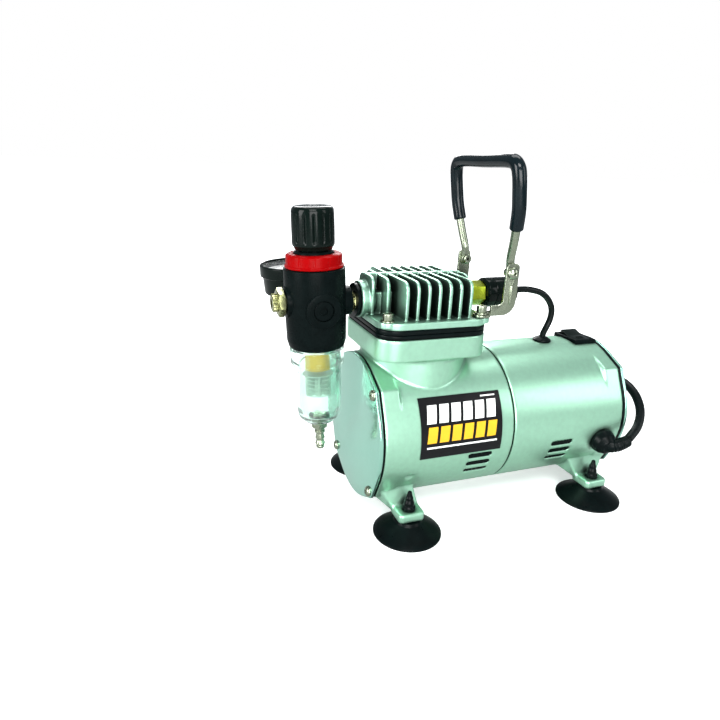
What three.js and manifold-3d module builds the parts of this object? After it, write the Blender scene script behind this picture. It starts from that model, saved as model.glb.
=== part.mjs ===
// Oil-less airbrush compressor: a crankcase casting and a motor casting on four suction-cup feet,
// a finned cylinder head, a filter-regulator with gauge, a pressure switch and a folding carry handle.
// Millimetres, +Z up. X runs along the motor shaft, and -Y is the side with the label and the mains cord.
// While it is built, x = 0 is the outer face of the front cover.
// The last lines centre the object on the floor.

import * as THREE from "three";
import { ConvexGeometry } from "three/addons/geometries/ConvexGeometry.js";
import { mergeVertices } from "three/addons/utils/BufferGeometryUtils.js";
import Module from "manifold-3d";

const wasm = await Module();
wasm.setup();

// ---------------------------------------------------------------- driving dimensions
const GAP = 0.3; // clearance between neighbouring pieces
const DRUM_SIDES = 32; // facets of the large round castings
const BORE_SIDES = 20; // facets of the bores and discs inside them
const HOLE_SIDES = 8; // facets of screws, bolts and their holes

const AXIS_Z = 58.5; // height of the motor shaft
const BODY_R = 48.5; // outer radius of both castings
const WALL = 3.5; // casting wall
const LUG_HALF = 36.3; // half side of the square of screw lugs on each end face
const LUG_LENGTH = 12;
const SCREW_OFFSET = 33; // cover screws, from the shaft axis along Y and Z
const SCREW_R = 1.8;
const COVER_T = 2;
const GASKET_T = 0.8;
const CASE_X0 = COVER_T + GASKET_T + 2 * GAP; // front face of the crankcase casting
const SEAM_X = 94; // joint between the two castings
const CASE_X1 = 183.2; // rear face of the motor casting
const REAR_GASKET_T = 1.8;

const HEAD_X = 39.5; // cylinder axis
const HEAD_HALF_X = 37;
const HEAD_HALF_Y = 36;
const HEAD_CORNER_R = 13;
const BARREL_R = 34.5;
const FLANGE_Z0 = 111.5;
const FLANGE_Z1 = 125.5;
const HEAD_Z0 = 131.5; // underside of the cylinder head
const HEAD_PLATE_T = 4.3;
const FIN_TOP_Z = 159;
const FIN_HALF_Y = 31;
const FIN_T = 2;
const FIN_PITCH = 7.1;
const FIN_COUNT = 10;
const FIRST_FIN_X = 5.4;
const FIN_CORNER_R = 7;
const SET_BACK_FINS = new Map([[0, 12], [1, 19], [9, 14]]); // fin number: half width beside a head bolt
const BOLT_DX = 31.5;
const BOLT_DY = 29.5;
const BOLT_R = 2;
const BOLT_HEAD_R = 3.2;
const BOLT_HEAD_H = 5;

const BORE_R = 24.3; // cylinder bore
const CRANK_THROW = 4; // half the stroke
const PISTON_R = BORE_R - CRANK_THROW - GAP;
const SHAFT_R = 5;

const PORT_Z = 142; // height of the air ports in head and regulator
const REG_X = -27.5; // regulator axis
const REG_LEAN = 2.8; // degrees that the regulator leans away from the head on its nipple
const REG_R = 18.6;
const REG_Z0 = 114.4;
const REG_Z1 = 164;
const OUTLET_Z = 144.2;
const BONNET_R = 12;
const RING_R = 17.8;
const RING_H = 8.2;
const KNOB_R = 12.6;
const KNOB_Z0 = 174.4;
const KNOB_Z1 = 199.3;
const KNOB_FLUTES = 14;
const SPINDLE_R = 3;

const BOWL_R = 15;
const BOWL_COLLAR_R = 17;
const BOWL_NECK_R = 13;
const BOWL_WALL = 2.2;
const BOWL_BOTTOM_Z = 63.2;
const DRAIN_TIP_Z = 43.4;

const GAUGE_X = -26.5;
const GAUGE_Y = 50;
const GAUGE_R = 24.5;
const GAUGE_Z0 = 136;
const GAUGE_Z1 = 158;

const FOOT_X = [22.8, 167.4]; // one pair of feet under each casting
const FOOT_Y = 46;
const PAD_HALF_X = 8.7;
const PAD_Y0 = 40;
const PAD_Y1 = 53;
const PAD_Z0 = 10.5;
const PAD_Z1 = 16.5;
const CUP_R = 22;
const PEG_R = 3.2;

const PIVOT_X = 90; // handle pivot
const PIVOT_Z = 162.6;
const EAR_Y = 30.5; // outer face of each bracket
const EAR_HALF = 4.7;
const STRAP_T = 1.6;
const HANDLE_LEAN = 8.3; // degrees that the handle leans back against its stop
const HANDLE_HALF_Y = 36.5;
const HANDLE_RISE = 66.1; // pivot to the grip's centreline
const HANDLE_ROD_R = 2.7;
const GRIP_R = 4.2;
const RIVET_R = 1.5;
const TAB_R = 3.6; // the handle's flattened ends

const SWITCH_Z = 144.3; // axis of the pressure switch
const SWITCH_R = 10;
const SWITCH_X0 = 88;
const SWITCH_X1 = 112.3;
const LEAD_R = 2.2;
const GROMMET_X = 143.5;

const ROCKER_X = 173.6;
const ROCKER_Y = 0.5;
const ROCKER_HALF_X = 9.2;
const ROCKER_HALF_Y = 12;
const ROCKER_Z = 108.6; // top of the bezel

const GLAND_X = 168.6;
const GLAND_TILT = 14; // degrees below the horizontal that the cord gland looks
const GLAND_NECK_R = 4.2;
const CORD_R = 3.1; // three-core mains lead, 1.8 m long
const COIL_X = 104; // the rest of the lead is coiled on the floor behind the castings
const COIL_Y = 86;
const COIL_R = 36; // middle of the turns
const COIL_TURNS_ACROSS = 3;
const COIL_LAYERS = 2;

// ---------------------------------------------------------------- materials
const paint = (color, roughness, metalness) =>
  new THREE.MeshStandardMaterial({ color, roughness, metalness });
const castSilver = paint(0xa9c4b6, 0.42, 0.75);
const coverSilver = paint(0x9bb5ad, 0.35, 0.7);
const machinedAlloy = paint(0xb9bdbd, 0.3, 0.9);
const zincSteel = paint(0xc8cdbf, 0.3, 0.95);
const brass = paint(0xb9a45a, 0.3, 0.95);
const blackPlastic = paint(0x101514, 0.35, 0);
const blackRubber = paint(0x0c100f, 0.6, 0);
const redPlastic = paint(0xb80a0a, 0.4, 0);
const clearPlastic = paint(0xdfeee8, 0.1, 0);
const sinteredBronze = paint(0xcc9436, 0.7, 0.3);
const dialWhite = paint(0xf2f2ee, 0.5, 0);
const laminations = paint(0x6d6f72, 0.5, 0.8);

// ---------------------------------------------------------------- solids
function toSolid(geometry) {
  const bare = new THREE.BufferGeometry();
  const source = geometry.index ? geometry.toNonIndexed() : geometry;
  bare.setAttribute("position", source.getAttribute("position").clone());
  const merged = mergeVertices(bare, 1e-4);
  const position = merged.attributes.position;
  const corners = [new THREE.Vector3(), new THREE.Vector3(), new THREE.Vector3()];
  const kept = [];
  let volume = 0;
  for (let i = 0; i < merged.index.count; i += 3) {
    const [a, b, c] = [0, 1, 2].map((k) => merged.index.getX(i + k));
    if (a === b || b === c || c === a) continue;
    kept.push(a, b, c);
    [a, b, c].forEach((v, k) => corners[k].fromBufferAttribute(position, v));
    volume += corners[0].dot(corners[1].clone().cross(corners[2]));
  }
  if (volume < 0) kept.reverse();
  return new wasm.Manifold(
    new wasm.Mesh({ numProp: 3, vertProperties: position.array, triVerts: new Uint32Array(kept) }),
  );
}

function toGeometry(solid) {
  const mesh = solid.getMesh();
  const geometry = new THREE.BufferGeometry();
  geometry.setAttribute("position", new THREE.BufferAttribute(mesh.vertProperties, 3));
  geometry.setIndex(new THREE.BufferAttribute(mesh.triVerts, 1));
  const faceted = geometry.toNonIndexed();
  faceted.computeVertexNormals();
  return faceted;
}

const join = (first, ...others) =>
  toGeometry(others.reduce((solid, other) => solid.add(toSolid(other)), toSolid(first)));
const cut = (first, ...others) =>
  toGeometry(others.reduce((solid, other) => solid.subtract(toSolid(other)), toSolid(first)));
const onSide = (geometry, side) => toGeometry(toSolid(geometry.scale(1, side, 1)));

// Boxes and cylinders by their faces.
const box = (x0, x1, y0, y1, z0, z1) =>
  new THREE.BoxGeometry(x1 - x0, y1 - y0, z1 - z0).translate((x0 + x1) / 2, (y0 + y1) / 2, (z0 + z1) / 2);
const rodX = (r, x0, x1, y, z, sides = 16) =>
  new THREE.CylinderGeometry(r, r, x1 - x0, sides).rotateZ(-Math.PI / 2).translate((x0 + x1) / 2, y, z);
const rodY = (r, y0, y1, x, z, sides = 16) =>
  new THREE.CylinderGeometry(r, r, y1 - y0, sides).translate(x, (y0 + y1) / 2, z);
const rodZ = (r, z0, z1, x, y, sides = 16) =>
  new THREE.CylinderGeometry(r, r, z1 - z0, sides).rotateX(Math.PI / 2).translate(x, y, (z0 + z1) / 2);

// Turned pieces: a profile of [radius, height] points, spun about Z.
const turned = (profile, sides = 20) =>
  new THREE.LatheGeometry(profile.map(([r, h]) => new THREE.Vector2(r, h)), sides).rotateX(Math.PI / 2);
const turnedX = (profile, sides = 20) => turned(profile, sides).rotateY(Math.PI / 2);

// A plate in the YZ plane from x0 to x1, from a shape drawn with Y across and Z up.
function plateX(shape, x0, x1, curveSegments = 6) {
  const plate = new THREE.ExtrudeGeometry(shape, { depth: x1 - x0, bevelEnabled: false, curveSegments });
  return plate.applyMatrix4(new THREE.Matrix4().set(0, 0, 1, x0, 1, 0, 0, 0, 0, 1, 0, 0, 0, 0, 0, 1));
}
const plateZ = (shape, z0, z1, curveSegments = 4) =>
  new THREE.ExtrudeGeometry(shape, { depth: z1 - z0, bevelEnabled: false, curveSegments })
    .translate(0, 0, z0);

function roundedRectangle(halfX, halfY, r) {
  const shape = new THREE.Shape();
  shape.absarc(halfX - r, halfY - r, r, 0, Math.PI / 2);
  shape.absarc(-halfX + r, halfY - r, r, Math.PI / 2, Math.PI);
  shape.absarc(-halfX + r, -halfY + r, r, Math.PI, 1.5 * Math.PI);
  shape.absarc(halfX - r, -halfY + r, r, 1.5 * Math.PI, 2 * Math.PI);
  return shape;
}

// The end outline of the castings: a circle with a screw lug at each corner of a square.
function lugOutline(r, half) {
  const reach = Math.PI / 4 - Math.acos(r / (half * Math.SQRT2)); // the corners' sides are tangents of the circle
  const shape = new THREE.Shape();
  for (let quarter = 0; quarter < 4; quarter++) {
    const turn = (quarter * Math.PI) / 2;
    shape.absarc(0, 0, r, turn - reach, turn + reach, false);
    const corner = new THREE.Vector2(half, half).rotateAround(new THREE.Vector2(), turn);
    shape.lineTo(corner.x, corner.y);
  }
  return shape;
}

function polygon(points) {
  return new THREE.Shape(points.map(([x, y]) => new THREE.Vector2(x, y)));
}

// A round bar along a smooth path.
function bar(path, r, sides, steps) {
  const section = new THREE.Shape();
  for (let side = 0; side < sides; side++) {
    const angle = (side * 2 * Math.PI) / sides;
    const [x, y] = [r * Math.cos(angle), r * Math.sin(angle)];
    if (side === 0) section.moveTo(x, y);
    else section.lineTo(x, y);
  }
  return new THREE.ExtrudeGeometry(section, { steps, extrudePath: path, bevelEnabled: false });
}

const vectors = (points) => points.map((p) => new THREE.Vector3(...p));
const smooth = (points) => new THREE.CatmullRomCurve3(vectors(points), false, "centripetal");

function hexPrismX(acrossFlats, x0, x1, y, z) {
  return rodX(acrossFlats / Math.sqrt(3), x0, x1, y, z, 6);
}

// ---------------------------------------------------------------- assembly
const compressor = new THREE.Group();

function add(parent, name, geometry, material) {
  const mesh = new THREE.Mesh(geometry, material);
  mesh.name = name;
  parent.add(mesh);
  return mesh;
}

const lugScrews = [];
for (const side of [-1, 1]) {
  for (const level of [1, -1]) lugScrews.push([side * SCREW_OFFSET, level * SCREW_OFFSET]);
}
const headBolts = [];
for (const end of [-1, 1]) {
  for (const side of [-1, 1]) headBolts.push([HEAD_X + end * BOLT_DX, side * BOLT_DY]);
}

const lugHoles = (x0, x1) =>
  lugScrews.map(([y, z]) => rodX(SCREW_R + GAP, x0, x1, y, AXIS_Z + z, HOLE_SIDES));
const headHoles = (z0, z1) => headBolts.map(([x, y]) => rodZ(BOLT_R + GAP, z0, z1, x, y, HOLE_SIDES));
const headOutline = (margin = 0) =>
  roundedRectangle(HEAD_HALF_X - margin, HEAD_HALF_Y - margin, HEAD_CORNER_R - margin);
const aroundHead = (geometry) => geometry.translate(HEAD_X, 0, 0);
const onAxis = (geometry) => geometry.translate(0, 0, AXIS_Z);

// ---- castings
// A leg grows out of the casting, wider at its root, and ends in a flat pad with a hole for a suction cup.
function foot(x, side, rootX0, rootX1) {
  const leg = [];
  for (const lx of [x - PAD_HALF_X, x + PAD_HALF_X]) {
    leg.push([lx, side * PAD_Y0, PAD_Z1]);
    leg.push([lx, side * (PAD_Y0 - 6), PAD_Z1]);
    leg.push([lx, side * PAD_Y0, PAD_Z0 + 3]);
    leg.push([lx, side * (PAD_Y0 + 1), PAD_Z1], [lx, side * (PAD_Y0 + 1), PAD_Z0 + 2.5]);
  }
  for (const rx of [rootX0, rootX1]) {
    leg.push([rx, side * 38.8, AXIS_Z - 28.5]);
    leg.push([rx, side * 26, AXIS_Z - 39.5]);
    leg.push([rx, side * 30, AXIS_Z - 33]);
  }
  const pad = roundedRectangle(PAD_HALF_X, (PAD_Y1 - PAD_Y0 + 4) / 2, 2.5);
  const padPlate = plateZ(pad, PAD_Z0, PAD_Z1, 3).translate(x, (side * (PAD_Y1 + PAD_Y0 - 4)) / 2, 0);
  return [new ConvexGeometry(vectors(leg)), padPlate];
}
const footHoles = (x) => [-1, 1].map((side) => rodZ(PEG_R + GAP, 0, 40, x, side * FOOT_Y, 12));

// Three cooling slots, one above the other, cut through both sides of a casting.
function ventSlots(x0, x1) {
  const slots = [];
  for (const side of [-1, 1]) {
    for (const drop of [12, 20, 28]) {
      const slot = box(x0, x1, BODY_R - 10, BODY_R + 10, -1.6, 1.6);
      slots.push(onAxis(slot.rotateX((-drop * Math.PI) / 180).scale(1, side, 1)));
    }
  }
  return slots;
}

function crankcase() {
  const shell = onAxis(plateX(lugOutline(BODY_R, LUG_HALF), CASE_X0, CASE_X0 + LUG_LENGTH));
  const drum = rodX(BODY_R, CASE_X0, SEAM_X - GAP / 2, 0, AXIS_Z, DRUM_SIDES);
  const barrel = rodZ(BARREL_R, AXIS_Z, FLANGE_Z1 - 1, HEAD_X, 0, BORE_SIDES);
  const flange = aroundHead(plateZ(headOutline(), FLANGE_Z0, FLANGE_Z1));
  const outside = join(
    shell,
    drum,
    barrel,
    flange,
    ...foot(FOOT_X[0], -1, CASE_X0 + 1, 28),
    ...foot(FOOT_X[0], 1, CASE_X0 + 1, 28),
  );
  return cut(
    outside,
    rodX(BODY_R - WALL, CASE_X0 - 1, 80, 0, AXIS_Z, DRUM_SIDES),
    rodX(BODY_R - WALL, 87, SEAM_X + 1, 0, AXIS_Z, DRUM_SIDES),
    rodX(15 + GAP, 70, 95, 0, AXIS_Z, BORE_SIDES),
    rodZ(BORE_R + 1.7 + GAP, AXIS_Z, FLANGE_Z1 + 1, HEAD_X, 0, BORE_SIDES),
    ...lugHoles(CASE_X0 - 1, CASE_X0 + LUG_LENGTH - 1),
    ...headHoles(FLANGE_Z0 - 1, FLANGE_Z1 + 1),
    ...ventSlots(62.3, 79.3),
    ...footHoles(FOOT_X[0]),
  );
}

function motorCasting() {
  const drum = rodX(BODY_R, SEAM_X + GAP / 2, CASE_X1, 0, AXIS_Z, DRUM_SIDES);
  const lugs = onAxis(plateX(lugOutline(BODY_R, LUG_HALF), CASE_X1 - LUG_LENGTH, CASE_X1));
  const outside = join(
    drum,
    lugs,
    ...foot(FOOT_X[1], -1, 150, CASE_X1 - 1),
    ...foot(FOOT_X[1], 1, 150, CASE_X1 - 1),
  );
  return cut(
    outside,
    rodX(BODY_R - WALL, SEAM_X - 1, 151, 0, AXIS_Z, DRUM_SIDES),
    rodX(BODY_R - WALL, 160, CASE_X1 + 1, 0, AXIS_Z, DRUM_SIDES),
    rodX(13 + GAP, 140, 170, 0, AXIS_Z, BORE_SIDES),
    ...lugHoles(CASE_X1 - LUG_LENGTH + 1, CASE_X1 + 1),
    ...ventSlots(126.5, 143.3),
    ...footHoles(FOOT_X[1]),
    rodZ(4.2, 95, 115, GROMMET_X, 0, 16),
    atRocker(rockerBox(1, 90, 115)),
    atRocker(rockerBox(-GAP, ROCKER_Z - COLLAR_T - GAP, 115)),
    glandFrame(rodZ(GLAND_NECK_R + GAP, -12, 6, 0, 0, 12)),
  );
}

// Places a piece drawn with +Z up on the slanted spot where the mains lead comes out.
function glandFrame(geometry) {
  const tilt = (GLAND_TILT * Math.PI) / 180;
  return geometry
    .rotateX(Math.PI / 2 + tilt)
    .translate(GLAND_X, -BODY_R * Math.cos(tilt), AXIS_Z - BODY_R * Math.sin(tilt));
}

// The rocker switch sits in a pocket on top; a margin shrinks its outline.
const COLLAR_T = 3.4;
const atRocker = (geometry) => geometry.translate(ROCKER_X, ROCKER_Y, 0);
const rockerBox = (margin, z0, z1) => {
  const halfX = ROCKER_HALF_X - margin;
  const halfY = ROCKER_HALF_Y - margin;
  return box(-halfX, halfX, -halfY, halfY, z0, z1);
};

add(compressor, "crankcase_housing", crankcase(), castSilver);
add(compressor, "motor_housing", motorCasting(), castSilver);

// ---- end covers
function endGasket(x0, x1) {
  const ring = onAxis(plateX(lugOutline(BODY_R, LUG_HALF), x0, x1));
  return cut(ring, rodX(BODY_R - WALL, x0 - 1, x1 + 1, 0, AXIS_Z, DRUM_SIDES), ...lugHoles(x0 - 1, x1 + 1));
}
const coverPlate = (x0, x1) =>
  cut(onAxis(plateX(lugOutline(BODY_R, LUG_HALF), x0, x1)), ...lugHoles(x0 - 1, x1 + 1));

add(compressor, "front_gasket", endGasket(COVER_T + GAP, COVER_T + GAP + GASKET_T), blackRubber);
add(compressor, "front_cover", coverPlate(0, COVER_T), coverSilver);
const REAR_X0 = CASE_X1 + GAP;
const REAR_X1 = REAR_X0 + REAR_GASKET_T + GAP;
add(compressor, "rear_gasket", endGasket(REAR_X0, REAR_X0 + REAR_GASKET_T), blackRubber);
add(compressor, "rear_cover", coverPlate(REAR_X1, REAR_X1 + COVER_T), coverSilver);

const panHead = [[0, -2.2], [2.2, -2.1], [3.3, -1.2], [3.5, 0], [SCREW_R, 0], [SCREW_R, 9], [0, 10]];
lugScrews.forEach(([y, z], index) => {
  const shank = toGeometry(toSolid(turnedX(panHead, 8)));
  const screw = add(compressor, `front_cover_screw_${index + 1}`, shank, zincSteel);
  screw.position.set(-GAP, y, AXIS_Z + z);
});

// ---- cylinder and head
const LINER_Z0 = AXIS_Z + 27;
add(
  compressor,
  "cylinder_liner",
  cut(
    rodZ(BORE_R + 1.7, LINER_Z0, FLANGE_Z1, HEAD_X, 0, BORE_SIDES),
    rodZ(BORE_R, LINER_Z0 - 1, FLANGE_Z1 + 1, HEAD_X, 0, BORE_SIDES),
  ),
  machinedAlloy,
);
const SEAL_Z0 = FLANGE_Z1 + GAP;
const SEAL_Z1 = HEAD_Z0 - GAP;
add(
  compressor,
  "head_gasket",
  cut(
    aroundHead(plateZ(headOutline(0.4), SEAL_Z0, SEAL_Z1)),
    rodZ(28, SEAL_Z0 - 1, SEAL_Z1 + 1, HEAD_X, 0, BORE_SIDES),
    ...headHoles(SEAL_Z0 - 1, SEAL_Z1 + 1),
  ),
  blackRubber,
);
add(
  compressor,
  "valve_plate",
  cut(
    rodZ(28 - GAP, SEAL_Z0, SEAL_Z1, HEAD_X, 0, BORE_SIDES),
    rodZ(2.5, SEAL_Z0 - 1, SEAL_Z1 + 1, HEAD_X - 9, 0, 12),
    rodZ(2.5, SEAL_Z0 - 1, SEAL_Z1 + 1, HEAD_X + 9, 0, 12),
  ),
  machinedAlloy,
);

function finOutline(halfY) {
  const shape = new THREE.Shape();
  shape.moveTo(-halfY, HEAD_Z0 + 1);
  shape.lineTo(halfY, HEAD_Z0 + 1);
  shape.absarc(halfY - FIN_CORNER_R, FIN_TOP_Z - FIN_CORNER_R, FIN_CORNER_R, 0, Math.PI / 2);
  shape.absarc(-halfY + FIN_CORNER_R, FIN_TOP_Z - FIN_CORNER_R, FIN_CORNER_R, Math.PI / 2, Math.PI);
  return shape;
}

function cylinderHead() {
  const plate = aroundHead(plateZ(headOutline(), HEAD_Z0, HEAD_Z0 + HEAD_PLATE_T));
  const fins = [];
  for (let number = 0; number < FIN_COUNT; number++) {
    const x = FIRST_FIN_X + number * FIN_PITCH;
    const halfY = SET_BACK_FINS.get(number) ?? FIN_HALF_Y;
    fins.push(plateX(finOutline(halfY), x - FIN_T / 2, x + FIN_T / 2, 3));
  }
  const lastFinX = FIRST_FIN_X + (FIN_COUNT - 1) * FIN_PITCH;
  const spine = box(FIRST_FIN_X, lastFinX, -1.5, 1.5, HEAD_Z0 + 1, FIN_TOP_Z + 0.6);
  const core = box(FIRST_FIN_X, lastFinX, -10, 10, HEAD_Z0 + 1, SWITCH_Z + 5);
  const portBoss = rodX(11.5, -1, 8, 0, PORT_Z + 1.5, 24);
  const switchBoss = rodX(9, lastFinX, lastFinX + 4, 0, SWITCH_Z, 24);
  return cut(
    join(plate, ...fins, spine, core, portBoss, switchBoss),
    ...headHoles(HEAD_Z0 - 1, HEAD_Z0 + 8),
    rodX(5 + GAP, -2, 9, 0, PORT_Z, 16),
    rodX(5 + GAP, lastFinX - 4, lastFinX + 5, 0, SWITCH_Z, 16),
  );
}
add(compressor, "cylinder_head", cylinderHead(), castSilver);

const HEAD_PLATE_TOP = HEAD_Z0 + HEAD_PLATE_T;
headBolts.forEach(([x, y], index) => {
  // the handle brackets sit under two of the bolts
  const seat = HEAD_PLATE_TOP + GAP + (x > HEAD_X ? STRAP_T + GAP : 0);
  const bolt = join(
    rodZ(BOLT_HEAD_R, seat, seat + BOLT_HEAD_H, x, y, 12),
    rodZ(BOLT_R, FLANGE_Z0 + 2, seat + 1, x, y, HOLE_SIDES),
  );
  add(compressor, `head_bolt_${index + 1}`, bolt, zincSteel);
});

// ---- handle
// Each bracket is a foot under a head bolt and an upright side plate that holds the pivot rivet.
function bracket(side) {
  const footZ = HEAD_PLATE_TOP + GAP;
  const boltX = HEAD_X + BOLT_DX;
  const [left, right] = [PIVOT_X - EAR_HALF, PIVOT_X + EAR_HALF];
  const [cornerR, topR, insideR, legH] = [9, 3, 3, 6.5];
  const outline = new THREE.Shape();
  outline.moveTo(boltX + 6, footZ);
  outline.absarc(right - cornerR, footZ + cornerR, cornerR, -Math.PI / 2, 0);
  outline.absarc(right - topR, PIVOT_Z + 3, topR, 0, Math.PI / 2);
  outline.absarc(left + topR, PIVOT_Z + 3, topR, Math.PI / 2, Math.PI);
  outline.absarc(left - insideR, footZ + legH + insideR, insideR, 0, -Math.PI / 2, true);
  outline.lineTo(boltX + 6, footZ + legH);
  const plate = new THREE.ExtrudeGeometry(outline, { depth: STRAP_T, bevelEnabled: false, curveSegments: 4 })
    .rotateX(Math.PI / 2)
    .translate(0, EAR_Y, 0);
  const lobe = box(boltX - 5, boltX + 5.5, 24.5, 34.5, footZ, footZ + STRAP_T);
  const web = box(boltX + 5, right - cornerR + 2, EAR_Y - 8, EAR_Y, footZ, footZ + STRAP_T);
  const boltHole = rodZ(BOLT_R + GAP, footZ - 1, footZ + 3, boltX, BOLT_DY, HOLE_SIDES);
  const rivetHole = rodY(RIVET_R + GAP, EAR_Y - 4, EAR_Y + 2, PIVOT_X, PIVOT_Z, HOLE_SIDES);
  return onSide(cut(join(plate, lobe, web), boltHole, rivetHole), side);
}

const RIVET_PROFILE = [
  [0, 2.4],
  [2.6, 2],
  [3.8, 0.6],
  [3.8, 0],
  [RIVET_R, 0],
  [RIVET_R, -5.4],
  [2.9, -5.4],
  [2.9, -6.8],
  [0, -6.8],
];
const TAB_HALF_T = 1.2; // half the thickness of the handle's flattened ends
const TAB_Y = EAR_Y - STRAP_T - GAP - TAB_HALF_T;

function handlePath() {
  const lean = (HANDLE_LEAN * Math.PI) / 180;
  const at = (rise, y) => [PIVOT_X - rise * Math.sin(lean), y, PIVOT_Z + rise * Math.cos(lean)];
  const leg = [
    [3, TAB_Y],
    [9, TAB_Y + 0.4],
    [18, 30.8],
    [28, 33.7],
    [38, 36],
    [46, HANDLE_HALF_Y],
    [HANDLE_RISE - 9, HANDLE_HALF_Y],
    [HANDLE_RISE - 4, HANDLE_HALF_Y - 1],
    [HANDLE_RISE - 1, HANDLE_HALF_Y - 4],
    [HANDLE_RISE, HANDLE_HALF_Y - 9],
  ];
  const left = leg.map(([rise, y]) => at(rise, y));
  const right = leg.map(([rise, y]) => at(rise, -y)).reverse();
  return [...left, at(HANDLE_RISE, 0), ...right];
}

function handleBail() {
  const rod = bar(smooth(handlePath()), HANDLE_ROD_R, 8, 30);
  const trims = [];
  const tabs = [];
  for (const side of [-1, 1]) {
    for (const face of [-1, 1]) {
      const [near, far] = [side * TAB_Y + face * TAB_HALF_T, side * TAB_Y + face * 6];
      const [y0, y1] = [Math.min(near, far), Math.max(near, far)];
      trims.push(box(PIVOT_X - 6, PIVOT_X + 6, y0, y1, PIVOT_Z - 2, PIVOT_Z + 8));
    }
    tabs.push(rodY(TAB_R, side * TAB_Y - TAB_HALF_T, side * TAB_Y + TAB_HALF_T, PIVOT_X, PIVOT_Z, 16));
  }
  const holes = [-1, 1].map((side) =>
    rodY(RIVET_R + GAP, side * TAB_Y - 3, side * TAB_Y + 3, PIVOT_X, PIVOT_Z, HOLE_SIDES),
  );
  return cut(join(cut(rod, ...trims), ...tabs), ...holes);
}

function handleGrip() {
  const points = handlePath().slice(3, -3);
  const sleeve = bar(smooth(points), GRIP_R, 8, 24);
  const whole = smooth(handlePath());
  return cut(sleeve, bar(whole, HANDLE_ROD_R + GAP, 8, 30));
}

add(compressor, "handle_bracket_front", bracket(-1), zincSteel);
add(compressor, "handle_bracket_back", bracket(1), zincSteel);
for (const [side, label] of [[-1, "front"], [1, "back"]]) {
  const rivet = turned(RIVET_PROFILE, 12).rotateX(-side * Math.PI / 2);
  rivet.translate(PIVOT_X, side * (EAR_Y + GAP), PIVOT_Z);
  add(compressor, `handle_rivet_${label}`, toGeometry(toSolid(rivet)), zincSteel);
}
add(compressor, "handle_bail", handleBail(), zincSteel);
add(compressor, "handle_grip", handleGrip(), blackRubber);

// ---- filter-regulator
const atRegulator = (geometry) => geometry.translate(REG_X, 0, 0);

// The whole unit leans about the axis of its ports.
const leaning = new THREE.Group();
leaning.position.set(REG_X, 0, PORT_Z);
leaning.rotation.y = (-REG_LEAN * Math.PI) / 180;
compressor.add(leaning);
const regulator = new THREE.Group();
regulator.position.set(-REG_X, 0, -PORT_Z);
leaning.add(regulator);

add(
  compressor,
  "regulator_nipple",
  cut(
    join(
      rodX(5, REG_X + REG_R - 5, 6, 0, PORT_Z, 16),
      hexPrismX(11, -4.2, -1 - GAP, 0, PORT_Z),
    ),
    rodX(3, REG_X, 8, 0, PORT_Z, 12),
  ),
  brass,
);

function regulatorBody() {
  const drum = atRegulator(
    turned(
      [
        [0, REG_Z0],
        [15, REG_Z0],
        [17.4, REG_Z0 + 1.6],
        [REG_R - 0.2, REG_Z0 + 5.5],
        [REG_R, REG_Z1],
        [0, REG_Z1],
      ],
      32,
    ),
  );
  const inletBoss = rodX(9, REG_X, REG_X + REG_R + 3, 0, PORT_Z, 20);
  const outletBoss = rodX(9.5, REG_X - REG_R - 0.6, REG_X, 0, OUTLET_Z, 20);
  const gaugeBoss = rodY(8, 0, REG_R + 1.4, REG_X, PORT_Z, 20);
  return cut(
    join(drum, inletBoss, outletBoss, gaugeBoss),
    rodX(6.4, REG_X, REG_X + 30, 0, PORT_Z, 16),
    rodX(5 + GAP, REG_X - 30, REG_X, 0, OUTLET_Z, 16),
    rodY(5 + GAP, 0, REG_R + 5, REG_X, PORT_Z, 16),
    atRegulator(rodZ(BOWL_NECK_R + GAP, REG_Z0 - 1, REG_Z0 + 9, 0, 0, 20)),
    atRegulator(rodZ(BONNET_R, REG_Z1 - 12, REG_Z1 + 1, 0, 0, 20)),
    atRegulator(rodZ(6, REG_Z0, REG_Z1, 0, 0, 12)),
  );
}
add(regulator, "regulator_body", regulatorBody(), blackPlastic);

const BONNET_Z0 = REG_Z1 + GAP;
const RING_Z1 = BONNET_Z0 + RING_H;
function panelRing() {
  const edge = 1.2;
  const profile = [[0, BONNET_Z0], [RING_R, BONNET_Z0]];
  profile.push([RING_R, RING_Z1 - edge], [RING_R - edge, RING_Z1], [0, RING_Z1]);
  const ring = turned(profile, 28);
  return atRegulator(cut(ring, rodZ(BONNET_R + GAP, BONNET_Z0 - 1, RING_Z1 + 1, 0, 0, 20)));
}
add(regulator, "panel_ring", panelRing(), redPlastic);

function springBonnet() {
  const outside = join(
    rodZ(BONNET_R - GAP, REG_Z1 - 10, KNOB_Z0 - 1, 0, 0, 20),
    rodZ(8.5, KNOB_Z0 - 2, KNOB_Z0 + 12, 0, 0, 20),
  );
  const springRoom = rodZ(7, REG_Z1 - 11, KNOB_Z0 + 8, 0, 0, 16);
  const spindleHole = rodZ(SPINDLE_R + GAP, REG_Z1, KNOB_Z1, 0, 0, 12);
  return atRegulator(cut(outside, springRoom, spindleHole));
}
add(regulator, "spring_bonnet", springBonnet(), blackPlastic);

function adjustingScrew() {
  const spindle = rodZ(SPINDLE_R, KNOB_Z0 - 6, KNOB_Z1 - 9, 0, 0, 12);
  return atRegulator(join(spindle, rodZ(6, KNOB_Z0 - 10, KNOB_Z0 - 5, 0, 0, 12)));
}
add(regulator, "adjusting_screw", adjustingScrew(), zincSteel);

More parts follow.
